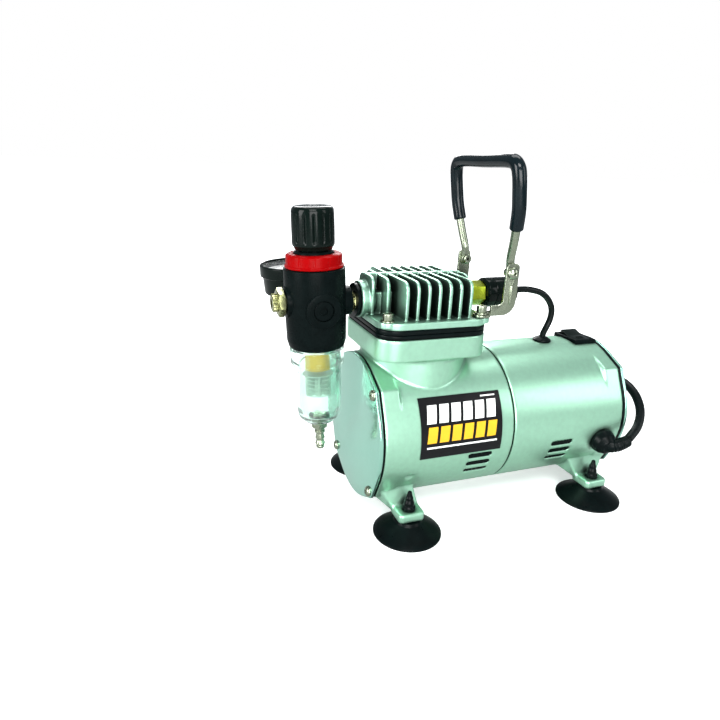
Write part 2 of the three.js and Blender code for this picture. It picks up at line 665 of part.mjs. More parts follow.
function regulatorKnob() {
  const profile = [
    [0, KNOB_Z1 - 0.8],
    [8, KNOB_Z1],
    [KNOB_R - 1.8, KNOB_Z1 - 0.5],
    [KNOB_R, KNOB_Z1 - 3],
    [KNOB_R, KNOB_Z0 + 2.5],
    [KNOB_R - 2, KNOB_Z0],
    [0, KNOB_Z0],
  ];
  const flutes = [];
  for (let flute = 0; flute < KNOB_FLUTES; flute++) {
    const angle = (flute * 2 * Math.PI) / KNOB_FLUTES;
    const x = (KNOB_R + 0.5) * Math.cos(angle);
    const y = (KNOB_R + 0.5) * Math.sin(angle);
    flutes.push(rodZ(1, KNOB_Z0 + 3.5, KNOB_Z1 - 4, x, y, 4));
  }
  return atRegulator(
    cut(
      turned(profile, KNOB_FLUTES * 2),
      ...flutes,
      rodZ(8.5 + GAP, KNOB_Z0 - 1, KNOB_Z0 + 12 + GAP, 0, 0, 20),
      rodZ(SPINDLE_R + GAP, KNOB_Z0, KNOB_Z1 - 8, 0, 0, 12),
    ),
  );
}
add(regulator, "regulator_knob", regulatorKnob(), blackPlastic);

const OUTLET_X = REG_X - REG_R - 0.6;
function outletFitting() {
  const outside = join(
    rodX(5, OUTLET_X - 1, OUTLET_X + 6, 0, OUTLET_Z, 16),
    hexPrismX(15.4, OUTLET_X - 4.4, OUTLET_X - GAP, 0, OUTLET_Z),
    rodX(5.4, OUTLET_X - 7.7, OUTLET_X - 4, 0, OUTLET_Z, 16),
  );
  return cut(outside, rodX(2.6, OUTLET_X - 9, REG_X, 0, OUTLET_Z, 12));
}
add(regulator, "outlet_fitting", outletFitting(), brass);

// ---- bowl
function filterBowl() {
  const outer = [
    [0, BOWL_BOTTOM_Z],
    [6, BOWL_BOTTOM_Z],
    [10, BOWL_BOTTOM_Z + 1],
    [13, BOWL_BOTTOM_Z + 4],
    [14.3, BOWL_BOTTOM_Z + 9],
    [BOWL_R, REG_Z0 - 11],
    [BOWL_COLLAR_R - 0.4, REG_Z0 - 10],
    [BOWL_COLLAR_R, REG_Z0 - GAP],
    [BOWL_NECK_R, REG_Z0 - GAP],
    [BOWL_NECK_R, REG_Z0 + 7],
    [0, REG_Z0 + 7],
  ];
  const inner = [
    [0, BOWL_BOTTOM_Z + 2.5],
    [6, BOWL_BOTTOM_Z + 2.5],
    [10.5, BOWL_BOTTOM_Z + 5],
    [14.3 - BOWL_WALL, BOWL_BOTTOM_Z + 10],
    [BOWL_NECK_R - 1.8, REG_Z0 - 8],
    [BOWL_NECK_R - 1.8, REG_Z0 + 8],
    [0, REG_Z0 + 8],
  ];
  const drainHole = rodZ(2.6, BOWL_BOTTOM_Z - 2, BOWL_BOTTOM_Z + 4, 0, 0, 12);
  return atRegulator(cut(turned(outer), turned(inner), drainHole));
}
add(regulator, "filter_bowl", filterBowl(), clearPlastic);
add(
  regulator,
  "filter_element",
  atRegulator(join(rodZ(7.6, 100.5, 112, 0, 0, 16), rodZ(3, 99, 121, 0, 0, 12))),
  sinteredBronze,
);
const DRAIN_NUT_Z = BOWL_BOTTOM_Z - GAP;
add(
  regulator,
  "drain_nut",
  atRegulator(
    cut(
      join(
        rodZ(5.6, DRAIN_NUT_Z - 4, DRAIN_NUT_Z, 0, 0, 6),
        rodZ(2.3, DRAIN_NUT_Z - 1, DRAIN_NUT_Z + 5, 0, 0, 12),
        rodZ(5.4, BOWL_BOTTOM_Z + 2.5 + GAP, BOWL_BOTTOM_Z + 6.5, 0, 0, 6),
      ),
      rodZ(1.3, DRAIN_NUT_Z - 5, BOWL_BOTTOM_Z + 8, 0, 0, 12),
    ),
  ),
  zincSteel,
);
add(
  regulator,
  "drain_valve",
  atRegulator(
    cut(
      join(
        rodZ(3.4, DRAIN_NUT_Z - 8.6, DRAIN_NUT_Z - 4 - GAP, 0, 0, 12),
        rodZ(2.7, DRAIN_TIP_Z, DRAIN_NUT_Z - 8, 0, 0, 12),
        turned(
          [[0, DRAIN_TIP_Z + 3], [3.4, DRAIN_TIP_Z + 3], [2.4, DRAIN_TIP_Z + 6], [0, DRAIN_TIP_Z + 6]],
          12,
        ),
      ),
      rodZ(1, DRAIN_TIP_Z - 1, DRAIN_NUT_Z - 6, 0, 0, HOLE_SIDES),
    ),
  ),
  zincSteel,
);

// ---- gauge, screwed into the regulator's rear port with its dial facing up
const GAUGE_RIM = 1.6;
const GAUGE_SIDES = 24;
const DIAL_Z = GAUGE_Z1 - 5;
const atGauge = (geometry) => geometry.translate(GAUGE_X, GAUGE_Y, 0);
function gaugeCase() {
  const profile = [
    [0, GAUGE_Z0],
    [GAUGE_R - 7, GAUGE_Z0],
    [GAUGE_R - 2.4, GAUGE_Z0 + 3],
    [GAUGE_R - 1.6, GAUGE_Z1 - 8.5],
    [GAUGE_R, GAUGE_Z1 - 7.5],
    [GAUGE_R, GAUGE_Z1 - 0.8],
    [GAUGE_R - 0.8, GAUGE_Z1],
    [0, GAUGE_Z1],
  ];
  const well = rodZ(GAUGE_R - GAUGE_RIM, DIAL_Z - 1.2, GAUGE_Z1 + 1, 0, 0, GAUGE_SIDES);
  const stem = join(
    rodY(5, REG_R - 4, GAUGE_Y - GAUGE_R + 6, REG_X, PORT_Z, 16),
    box(REG_X - 5.5, REG_X + 5.5, REG_R + 1.4 + GAP, GAUGE_Y - GAUGE_R + 5, PORT_Z - 5.5, PORT_Z + 5.5),
  );
  return join(atGauge(cut(turned(profile, GAUGE_SIDES), well)), stem);
}
add(regulator, "gauge_case", gaugeCase(), blackPlastic);
add(
  regulator,
  "gauge_dial",
  atGauge(rodZ(GAUGE_R - GAUGE_RIM - GAP, DIAL_Z - 1.2 + GAP, DIAL_Z, 0, 0, GAUGE_SIDES)),
  dialWhite,
);
const NEEDLE_TURN = (225 * Math.PI) / 180; // the needle rests on the dial's zero, front left
const needle = polygon([[-1.4, -6], [1.4, -6], [0.9, 0], [0.3, 17], [-0.3, 17], [-0.9, 0]]);
const needleGeometry = join(plateZ(needle, 0, 0.5), rodZ(2.2, 0, 1.2, 0, 0, 12));
add(
  regulator,
  "gauge_needle",
  atGauge(needleGeometry.rotateZ(NEEDLE_TURN - Math.PI / 2).translate(0, 0, DIAL_Z + GAP)),
  blackPlastic,
);

// ---- pressure switch, screwed into the head's right-hand port
const HEAD_RIGHT_X = FIRST_FIN_X + (FIN_COUNT - 1) * FIN_PITCH + 4;
add(
  compressor,
  "pressure_switch_nut",
  cut(
    join(
      rodX(5, HEAD_RIGHT_X - 6, SWITCH_X0 - GAP, 0, SWITCH_Z, 16),
      hexPrismX(14.4, HEAD_RIGHT_X + GAP, SWITCH_X0 - GAP, 0, SWITCH_Z),
    ),
    rodX(2, HEAD_RIGHT_X - 7, SWITCH_X0 + 1, 0, SWITCH_Z, 12),
  ),
  brass,
);
add(
  compressor,
  "pressure_switch",
  turnedX(
    [
      [0, SWITCH_X0],
      [SWITCH_R - 1.5, SWITCH_X0],
      [SWITCH_R, SWITCH_X0 + 1.5],
      [SWITCH_R, SWITCH_X1 - 2.5],
      [SWITCH_R - 2.5, SWITCH_X1],
      [0, SWITCH_X1],
    ],
    24,
  ).translate(0, 0, SWITCH_Z),
  blackPlastic,
);

// The switch lead is held at both ends: it arches from the switch to the grommet on the motor casting.
const GROMMET_TOP = AXIS_Z + BODY_R + 2;
const LEAD_PATH = [
  [SWITCH_X1 + GAP, 0, SWITCH_Z + 0.6],
  [SWITCH_X1 + 7, -0.3, SWITCH_Z + 1.1],
  [SWITCH_X1 + 14, -0.6, SWITCH_Z + 0.7],
  [SWITCH_X1 + 24.8, -1, SWITCH_Z - 2.2],
  [SWITCH_X1 + 31.7, -1.3, SWITCH_Z - 8],
  [SWITCH_X1 + 34.9, -1.4, SWITCH_Z - 14.5],
  [SWITCH_X1 + 34.8, -1.3, SWITCH_Z - 21.5],
  [GROMMET_X + 1.8, -0.9, GROMMET_TOP + 8],
  [GROMMET_X + 0.5, -0.3, GROMMET_TOP + 3.6],
  [GROMMET_X, 0, GROMMET_TOP + 2 * GAP],
];
add(compressor, "switch_lead", bar(smooth(LEAD_PATH), LEAD_R, 8, 20), blackRubber);
add(
  compressor,
  "lead_grommet",
  turned(
    [
      [0, GROMMET_TOP - 8],
      [4, GROMMET_TOP - 8],
      [4, GROMMET_TOP - 2 + GAP],
      [6.4, GROMMET_TOP - 2 + GAP],
      [6.2, GROMMET_TOP - 1.2],
      [3.2, GROMMET_TOP],
      [0, GROMMET_TOP],
    ],
    16,
  ).translate(GROMMET_X, 0, 0),
  blackRubber,
);

// ---- rocker switch on top of the motor casting
function rockerBezel() {
  const collar = rockerBox(0, ROCKER_Z - COLLAR_T, ROCKER_Z);
  const body = rockerBox(1 + GAP, ROCKER_Z - 14, ROCKER_Z);
  const well = rockerBox(2.2, ROCKER_Z - 7, ROCKER_Z + 1);
  return atRocker(cut(join(collar, body), well));
}
const ROCKER_TILT = 10;
function rockerButton() {
  const [reach, rise] = [ROCKER_HALF_Y - 3.2, 2.2];
  const side = polygon([
    [-reach, -1],
    [-2, -4],
    [2, -4],
    [reach, -1],
    [reach, rise + 0.5],
    [0, rise - 0.5],
    [-reach, rise + 0.5],
  ]);
  const halfX = ROCKER_HALF_X - 2.2 - GAP;
  const tilted = plateX(side, -halfX, halfX).rotateX((ROCKER_TILT * Math.PI) / 180);
  return atRocker(tilted.translate(0, 0, ROCKER_Z - 1.4));
}
add(compressor, "rocker_bezel", rockerBezel(), blackPlastic);
add(compressor, "rocker_button", rockerButton(), blackPlastic);

// ---- suction cups
function suctionCup(x, y) {
  const profile = [
    [0, 2],
    [CUP_R - 2.4, 0],
    [CUP_R, 0],
    [CUP_R, 1],
    [13, 6.4],
    [8.2, PAD_Z0 - GAP],
    [PEG_R, PAD_Z0 - GAP],
    [PEG_R, PAD_Z1 + GAP],
    [4.3, PAD_Z1 + GAP],
    [4.1, PAD_Z1 + 5.5],
    [2.4, PAD_Z1 + 7.5],
    [0, PAD_Z1 + 13.6],
  ];
  return turned(profile, 20).translate(x, y, 0);
}
for (const [end, x] of FOOT_X.entries()) {
  for (const side of [-1, 1]) {
    const label = `${end === 0 ? "left" : "right"}_${side < 0 ? "front" : "back"}`;
    add(compressor, `suction_cup_${label}`, toGeometry(toSolid(suctionCup(x, side * FOOT_Y))), blackRubber);
  }
}

// ---- motor and crank inside the castings
const FRONT_BEARING_X = 78;
const REAR_BEARING_X = 152;
function bearing(x0, outerR) {
  const race = rodX(outerR, x0, x0 + 8, 0, AXIS_Z, BORE_SIDES);
  return cut(race, rodX(SHAFT_R + GAP, x0 - 1, x0 + 9, 0, AXIS_Z, 16));
}
add(compressor, "front_bearing", bearing(FRONT_BEARING_X + 2, 15), machinedAlloy);
add(compressor, "rear_bearing", bearing(REAR_BEARING_X, 13), machinedAlloy);
add(
  compressor,
  "motor_stator",
  cut(
    join(rodX(40, 102, 128, 0, AXIS_Z, BORE_SIDES), rodX(34, 97, 133, 0, AXIS_Z, BORE_SIDES)),
    rodX(24, 95, 135, 0, AXIS_Z, BORE_SIDES),
    box(96, 134, -4, 4, AXIS_Z - 50, AXIS_Z - 33),
  ),
  laminations,
);
const rotorCore = rodX(23.3, 103, 127, 0, AXIS_Z, BORE_SIDES);
const rotorBore = rodX(SHAFT_R + GAP, 100, 130, 0, AXIS_Z, 16);
add(compressor, "motor_rotor", cut(rotorCore, rotorBore), laminations);
add(compressor, "motor_shaft", rodX(SHAFT_R, HEAD_X + 8, 161, 0, AXIS_Z, 16), zincSteel);

const FAN_BLADES = 7;
function coolingFan() {
  const hub = cut(rodX(11, 135, 146, 0, AXIS_Z, 16), rodX(SHAFT_R + GAP, 130, 150, 0, AXIS_Z, 16));
  const blades = [];
  for (let blade = 0; blade < FAN_BLADES; blade++) {
    const pitch = Math.PI / 5;
    const around = (blade * 2 * Math.PI) / FAN_BLADES;
    const plate = box(-1, 1, -5, 5, 10, 38).rotateZ(pitch).rotateX(around);
    blades.push(plate.translate(140.5, 0, AXIS_Z));
  }
  return join(hub, ...blades);
}
add(compressor, "cooling_fan", coolingFan(), blackPlastic);

// The crank pin sits CRANK_THROW beside the shaft at rest, so the piston is at mid-stroke.
const CRANK_X = HEAD_X - 6;
const PIN_Y = CRANK_THROW;
function crankDisc() {
  const disc = join(
    rodX(14, CRANK_X + 12, CRANK_X + 20, 0, AXIS_Z, BORE_SIDES),
    rodX(6, CRANK_X - 1, CRANK_X + 13, PIN_Y, AXIS_Z, 16),
    box(CRANK_X + 12, CRANK_X + 20, -24, -6, AXIS_Z - 12, AXIS_Z + 12),
  );
  return cut(disc, rodX(SHAFT_R + GAP, CRANK_X + 11.9, CRANK_X + 30, 0, AXIS_Z, 16));
}
add(compressor, "crank_disc", crankDisc(), machinedAlloy);

function connectingRod() {
  const pistonZ = AXIS_Z + 48;
  const piston = rodZ(PISTON_R, pistonZ, pistonZ + 8, CRANK_X + 6, PIN_Y, BORE_SIDES);
  const stem = box(CRANK_X + 1, CRANK_X + 9, PIN_Y - 6, PIN_Y + 6, AXIS_Z + 9, pistonZ + 1);
  const bigEnd = rodX(12, CRANK_X, CRANK_X + 10, PIN_Y, AXIS_Z, 20);
  return cut(join(piston, stem, bigEnd), rodX(6 + GAP, CRANK_X - 2, CRANK_X + 12, PIN_Y, AXIS_Z, 16));
}
add(compressor, "connecting_rod", connectingRod(), machinedAlloy);

// ---- mains lead
// A round piece that follows a curve while its radius changes, closed at both ends.
function taperedBar(curve, radiusAt, sides, steps) {
  const frames = curve.computeFrenetFrames(steps, false);
  const position = [];
  const index = [];
  for (let step = 0; step <= steps; step++) {
    const centre = curve.getPointAt(step / steps);
    const r = radiusAt(step / steps);
    for (let side = 0; side < sides; side++) {
      const angle = (side * 2 * Math.PI) / sides;
      const corner = centre.clone();
      corner.addScaledVector(frames.normals[step], r * Math.cos(angle));
      corner.addScaledVector(frames.binormals[step], r * Math.sin(angle));
      position.push(...corner);
      const next = step * sides + ((side + 1) % sides);
      const here = step * sides + side;
      if (step < steps) index.push(here, next, next + sides, here, next + sides, here + sides);
      if (step === 0 && side > 1) index.push(0, side, side - 1);
      if (step === steps && side > 1) index.push(step * sides, here - 1, here);
    }
  }
  const geometry = new THREE.BufferGeometry();
  geometry.setAttribute("position", new THREE.Float32BufferAttribute(position, 3));
  return geometry.setIndex(index);
}

// The strain relief: a round boot on the casting, and a tapered sleeve that turns the lead along the motor.
const SLEEVE_PATH = [
  [GLAND_X, -50.5, 46],
  [GLAND_X + 0.8, -53.8, 45.4],
  [GLAND_X + 3.6, -56.6, 45.8],
  [GLAND_X + 8.6, -57.5, 46.8],
  [GLAND_X + 14, -57.5, 48.2],
];
function cordGland() {
  const boot = turned([
    [0, -6],
    [GLAND_NECK_R, -6],
    [GLAND_NECK_R, GAP],
    [8.8, GAP],
    [8.6, 4],
    [7.4, 7.6],
    [5, 10],
    [0, 11],
  ]);
  const sleeve = taperedBar(smooth(SLEEVE_PATH), (t) => 5.6 - 1.6 * t, 12, 8);
  return join(glandFrame(boot), sleeve);
}
add(compressor, "cord_gland", cordGland(), blackRubber);

// The stretch that is not coiled: up out of the sleeve, behind the rear cover,
// down to the floor and round to the coil.
const CORD_PATH = [
  [183.7, -56.8, 49.5],
  [192.8, -53.8, 56],
  [199.3, -48.1, 63.9],
  [202.6, -39.8, 71.3],
  [203.5, -29.5, 76.5],
  [203, -18, 78.2],
  [202, -6.5, 76.2],
  [201.1, 4, 71.3],
  [200.3, 13.6, 64.6],
  [199.7, 22.3, 56.8],
  [199.2, 30.3, 48.4],
  [198.7, 38.1, 39.6],
  [198.3, 45.9, 30.9],
  [197.9, 54.1, 22.6],
  [197.3, 63.2, 15.3],
  [196.3, 73.3, 9.5],
  [194.4, 84.2, 5.8],
  [190.7, 95.1, 3.9],
];
const FLOOR_CORD_Z = CORD_R + 0.1;
const OUTER_TURN_R = COIL_R + 2 * CORD_R * ((COIL_TURNS_ACROSS - 1) / 2);
const RING_HALF = COIL_TURNS_ACROSS * CORD_R + 0.2;
const RING_TOP = COIL_LAYERS * 2 * CORD_R + 0.3;
const BEND_R = 51;
const BEND_X = 143;
const BEND_Y = COIL_Y + OUTER_TURN_R - BEND_R;
for (const degrees of [34, 48, 62, 76, 90]) {
  const angle = (degrees * Math.PI) / 180;
  CORD_PATH.push([BEND_X + BEND_R * Math.cos(angle), BEND_Y + BEND_R * Math.sin(angle), FLOOR_CORD_Z]);
}
CORD_PATH.push([COIL_X + 24, COIL_Y + OUTER_TURN_R, FLOOR_CORD_Z]);
add(compressor, "power_cord", bar(smooth(CORD_PATH), CORD_R, 10, 30), blackRubber);
const [RING_IN, RING_OUT] = [COIL_R - RING_HALF, COIL_R + RING_HALF];
const ringProfile = [
  [RING_IN, 1],
  [RING_IN + 2, 0],
  [RING_OUT - 2, 0],
  [RING_OUT, 1],
  [RING_OUT, RING_TOP - 1],
  [RING_OUT - 2, RING_TOP],
  [RING_IN + 2, RING_TOP],
  [RING_IN, RING_TOP - 1],
  [RING_IN, 1],
];
add(compressor, "cord_coil", turned(ringProfile, 24).translate(COIL_X, COIL_Y, 0), blackRubber);

// A moulded three-pin plug that lies on the coil, its pins towards -X.
const PLUG_HALF_W = 12.5;
const PLUG_HALF_H = 11;
const PLUG_Z = RING_TOP + GAP + PLUG_HALF_H;
const PLUG_Y = COIL_Y + 18;
const PLUG_X = COIL_X - 54; // the face that the pins stand on
function cordPlug() {
  const corners = (x, halfY, halfZ) => {
    const ring = [];
    const upper = [[1, 0.5], [0.6, 1], [-0.6, 1], [-1, 0.5]];
    const lower = [[-1, -0.5], [-0.6, -1], [0.6, -1], [1, -0.5]];
    for (const [y, z] of [...upper, ...lower]) {
      ring.push([x, PLUG_Y + y * halfY, PLUG_Z + z * halfZ]);
    }
    return ring;
  };
  const body = new ConvexGeometry(
    vectors([
      ...corners(PLUG_X, PLUG_HALF_W - 1, PLUG_HALF_H - 1),
      ...corners(PLUG_X + 2, PLUG_HALF_W, PLUG_HALF_H),
      ...corners(PLUG_X + 20, PLUG_HALF_W, PLUG_HALF_H),
      ...corners(PLUG_X + 36, 7.5, 7),
    ]),
  );
  const sleevePath = smooth([
    [PLUG_X + 34, PLUG_Y, PLUG_Z],
    [PLUG_X + 42, PLUG_Y, PLUG_Z - 0.6],
    [PLUG_X + 50, PLUG_Y - 0.3, PLUG_Z - 2.4],
    [PLUG_X + 58, PLUG_Y - 1.2, PLUG_Z - 4.8],
  ]);
  const sleeve = taperedBar(sleevePath, (t) => 6 - 2 * t, 12, 6);
  const blades = [-1, 1].map((side) => {
    const bladeY = PLUG_Y + side * 6.3;
    return box(PLUG_X - 17, PLUG_X + 2, bladeY - 0.8, bladeY + 0.8, PLUG_Z + 0.5, PLUG_Z + 6.8);
  });
  const earthPin = rodX(2.4, PLUG_X - 20, PLUG_X + 2, PLUG_Y, PLUG_Z - 6.5, 12);
  return join(body, sleeve, ...blades, earthPin);
}
add(compressor, "cord_plug", cordPlug(), blackPlastic);

// ---- the object's own box, without the loose lead, is centred over the floor's origin
const LOOSE_LEAD = ["power_cord", "cord_coil", "cord_plug"];
const extent = new THREE.Box3();
compressor.updateMatrixWorld(true);
compressor.traverse((piece) => {
  if (piece.isMesh && !LOOSE_LEAD.includes(piece.name)) extent.expandByObject(piece, true);
});
const middle = extent.getCenter(new THREE.Vector3());
compressor.position.set(-middle.x, -middle.y, 0);

export default compressor;
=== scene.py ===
"""Looks for an oil-less airbrush compressor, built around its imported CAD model.

Lengths in this script are millimetres in the compressor's own frame: X along the motor shaft from the
front cover's outer face, Y across from the shaft's axis, Z up from the floor. PLACE takes them to the
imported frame.
"""
import math

import bmesh
import bpy
from mathutils import Matrix, Vector


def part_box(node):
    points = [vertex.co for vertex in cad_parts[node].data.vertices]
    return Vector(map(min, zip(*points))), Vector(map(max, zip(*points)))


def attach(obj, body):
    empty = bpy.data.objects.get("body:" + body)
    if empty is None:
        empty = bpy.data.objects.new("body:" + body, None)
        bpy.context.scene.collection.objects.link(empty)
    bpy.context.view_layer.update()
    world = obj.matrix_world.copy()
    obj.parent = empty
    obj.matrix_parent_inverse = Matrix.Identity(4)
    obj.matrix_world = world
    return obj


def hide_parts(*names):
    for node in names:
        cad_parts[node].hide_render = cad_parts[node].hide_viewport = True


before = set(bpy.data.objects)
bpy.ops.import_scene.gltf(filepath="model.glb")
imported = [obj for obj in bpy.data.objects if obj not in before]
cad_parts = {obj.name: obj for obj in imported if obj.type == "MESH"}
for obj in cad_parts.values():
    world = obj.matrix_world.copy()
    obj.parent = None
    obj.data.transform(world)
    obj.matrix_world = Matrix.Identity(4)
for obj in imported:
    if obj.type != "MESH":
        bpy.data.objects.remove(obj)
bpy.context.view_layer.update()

MM = 0.001
shaft_low, shaft_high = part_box("motor_shaft")
shaft_y = (shaft_low.y + shaft_high.y) / 2
PLACE = Matrix.Translation((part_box("front_cover")[0].x, shaft_y, 0)) @ Matrix.Scale(MM, 4)

# ---------------------------------------------------------------- driving dimensions
AXIS_Z = 58.5
BODY_R = 48.5
WALL = 3.5
LUG_HALF = 36.3
LUG_LENGTH = 12
SCREW_OFFSET = 33
COVER_T = 2
CASE_X0 = 3.4
GASKET_INSET = 0.45
SEAM_X = 94
CASE_X1 = 183.2
HEAD_X = 39.5
HEAD_HALF_X, HEAD_HALF_Y, HEAD_CORNER_R = 37, 36, 13
BARREL_R = 34.5
FLANGE_Z0, FLANGE_Z1 = 111.5, 125.5
HEAD_Z0, HEAD_PLATE_T = 131.5, 4.3
FIN_TOP_Z, FIN_HALF_Y, FIN_T, FIN_PITCH, FIN_COUNT, FIRST_FIN_X = 159, 31, 2, 7.1, 10, 5.4
SET_BACK_FINS = {0: 12, 1: 19, 9: 14}
BOLT_DX, BOLT_DY = 31.5, 29.5
PORT_Z = 142
REG_X, REG_LEAN, REG_R = -27.5, 2.8, 18.6
REG_Z0, REG_Z1 = 114.4, 164
OUTLET_Z = 144.2
RING_R, RING_NOTCHES = 17.8, 12
KNURL_POINTS = 72
KNOB_R, KNOB_Z0, KNOB_Z1, KNOB_FLUTES = 12.6, 174.4, 199.3, 14
BOWL_R, BOWL_COLLAR_R, BOWL_BOTTOM_Z = 15, 17, 63.2
DRAIN_TIP_Z = 43.4
GAUGE_X, GAUGE_Y, GAUGE_R, GAUGE_Z0, GAUGE_Z1 = -26.5, 50, 24.5, 136, 158
DIAL_START, DIAL_SWEEP, DIAL_TICKS, NUMERAL_R = 225, 270, 40, 11.6
FOOT_X = (22.8, 167.4)
FOOT_Y = 46
PAD_HALF_X, PAD_Y0, PAD_Y1, PAD_Z0, PAD_Z1 = 8.7, 40, 53, 10.5, 16.5
CUP_R = 22
PIVOT_X, PIVOT_Z, EAR_Y, EAR_HALF, STRAP_T = 90, 162.6, 30.5, 4.7, 1.6
HANDLE_LEAN, HANDLE_HALF_Y, HANDLE_RISE, HANDLE_ROD_R, GRIP_R = 8.3, 36.5, 66.1, 2.7, 4.2
SWITCH_Z, SWITCH_R, SWITCH_X0, SWITCH_X1 = 144.3, 10, 88, 112.3
GROMMET_X = 143.5
ROCKER_X, ROCKER_Y, ROCKER_HALF_X, ROCKER_HALF_Y, ROCKER_Z, ROCKER_TILT = 173.6, 0.5, 9.2, 12, 108.6, 10
GLAND_X, GLAND_TILT = 168.6, 14
CORD_R = 3.1
COIL_X, COIL_Y, COIL_R = 104, 86, 36
PLUG_AT = (COIL_X - 54, COIL_Y + 18, 24.0)
TIE_ANGLE = 200
TAB_Y = EAR_Y - STRAP_T - 0.3 - 1.2
HEAD_RIGHT_X = FIRST_FIN_X + (FIN_COUNT - 1) * FIN_PITCH + 4
HEAD_PLATE_TOP = HEAD_Z0 + HEAD_PLATE_T
OUTLET_X = REG_X - REG_R - 0.6

port = Matrix.Translation((REG_X, 0, PORT_Z))
LEAN = port @ Matrix.Rotation(math.radians(-REG_LEAN), 4, "Y") @ port.inverted()


# ---------------------------------------------------------------- camera and light
CAMERA_AT = (-120.0, -324.2, 221.6)
CAMERA_ANGLES = (20.77, 18.91, 2.42)  # yaw to the right of +Y, pitch downwards, roll
CAMERA_LENS = 28.3
LIT_POINT = (0, 0, 0.08)
FLOOR_REACH = 30
# (name, place, size, watts), in metres
SOFT_BOXES = [
    ("key", (-0.35, -0.95, 1.15), (0.75, 0.42), 15),
    ("front", (-0.35, -1.40, 0.34), (1.0, 0.6), 20),
    ("side", (-1.30, -0.25, 0.42), (0.6, 0.8), 17),
    ("fill", (1.05, -0.95, 0.65), (0.40, 0.8), 4),
    ("top", (0.15, 0.35, 1.35), (1.2, 0.55), 10),
    ("back", (0.35, 1.25, 0.85), (0.9, 0.5), 15),
]


def point_camera():
    yaw, pitch, roll = (math.radians(angle) for angle in CAMERA_ANGLES)
    forward = Vector((math.sin(yaw) * math.cos(pitch), math.cos(yaw) * math.cos(pitch), -math.sin(pitch)))
    camera = bpy.data.objects.new("camera", bpy.data.cameras.new("camera"))
    bpy.context.scene.collection.objects.link(camera)
    camera.data.lens = CAMERA_LENS
    camera.data.sensor_width = 36
    camera.data.clip_start = 0.01
    camera.location = PLACE @ Vector(CAMERA_AT)
    level = forward.to_track_quat("-Z", "Y").to_matrix()
    camera.rotation_euler = (level @ Matrix.Rotation(roll, 3, "Z")).to_euler()
    bpy.context.scene.camera = camera


def area_light(name, place, size, watts):
    data = bpy.data.lights.new(name, "AREA")
    data.shape = "RECTANGLE"
    data.size, data.size_y = size
    data.energy = watts
    lamp = bpy.data.objects.new(name, data)
    bpy.context.scene.collection.objects.link(lamp)
    lamp.location = place
    lamp.rotation_euler = (Vector(LIT_POINT) - Vector(place)).to_track_quat("-Z", "Y").to_euler()


def feed(tree, socket, value):
    """Gives an input a constant or links it to another node's output."""
    if isinstance(value, bpy.types.NodeSocket):
        tree.links.new(value, socket)
    else:
        socket.default_value = value


def add_node(tree, kind, operation=None, **inputs):
    """A new node, with its inputs by name, _ standing for a space."""
    made = tree.nodes.new("ShaderNode" + kind)
    if operation:
        made.operation = operation
    for name, value in inputs.items():
        feed(tree, made.inputs[name.replace("_", " ")], value)
    return made


def seen_or_mirrored(tree, seen, mirrored_shader, target):
    """One shader where the studio is looked at, also through clear plastic, and another in reflections."""
    path = add_node(tree, "LightPath")
    either = add_node(tree, "Math", "MAXIMUM")
    feed(tree, either.inputs[0], path.outputs["Is Camera Ray"])
    feed(tree, either.inputs[1], path.outputs["Is Transmission Ray"])
    pick = add_node(tree, "MixShader", Fac=either.outputs["Value"])
    feed(tree, pick.inputs[1], mirrored_shader)
    feed(tree, pick.inputs[2], seen)
    feed(tree, tree.nodes[target].inputs["Surface"], pick.outputs["Shader"])


def light_studio():
    """A white sweep under soft boxes: shapes are drawn by bright strips and dark gaps between them."""
    scene = bpy.context.scene
    scene.view_settings.view_transform = "Standard"
    world = bpy.data.worlds.new("studio")
    world.use_nodes = True
    sky = world.node_tree.nodes["Background"]
    sky.inputs["Color"].default_value = (1.0, 1.0, 1.0, 1)
    sky.inputs["Strength"].default_value = 1.0
    dim = add_node(world.node_tree, "Background", Color=(0.86, 0.94, 1.0, 1), Strength=0.36)
    seen_or_mirrored(world.node_tree, sky.outputs["Background"], dim.outputs["Background"],
                     "World Output")
    scene.world = world
    for lamp in SOFT_BOXES:
        area_light(*lamp)
    floor = bpy.data.meshes.new("floor")
    corners = [(x * FLOOR_REACH, y * FLOOR_REACH, 0) for x, y in ((-1, -1), (1, -1), (1, 1), (-1, 1))]
    floor.from_pydata(corners, [], [(0, 1, 2, 3)])
    ground = bpy.data.objects.new("floor", floor)
    scene.collection.objects.link(ground)
    floor.materials.append(floor_surface())


def floor_surface():
    """White paper that fades into the white behind it, and that the object's glossy sides hardly mirror."""
    made = material("floor_paper", None, (0.86, 0.87, 0.87), 0.9, bump=(900, 0.02))
    tree = made.node_tree
    paper = tree.nodes["Principled BSDF"]
    place = add_node(tree, "TexCoord")
    distance = add_node(tree, "VectorMath", "LENGTH")
    feed(tree, distance.inputs[0], place.outputs["Object"])
    glow = add_node(tree, "MapRange", From_Min=0.2, From_Max=1.1, To_Min=0.42, To_Max=1.0)
    feed(tree, glow.inputs["Value"], distance.outputs["Value"])
    paper.inputs["Emission Color"].default_value = (1, 1, 1, 1)
    feed(tree, paper.inputs["Emission Strength"], glow.outputs["Result"])
    shade = add_node(tree, "BsdfDiffuse", Color=(0.42, 0.43, 0.43, 1))
    seen_or_mirrored(tree, paper.outputs["BSDF"], shade.outputs["BSDF"], "Material Output")
    return made


# ---------------------------------------------------------------- materials
# How hard the painted shade in narrow gaps darkens a material's colour.
PAINTED_SHADE_CONTRAST = 2.2
BUMP_DEPTH = 0.0004


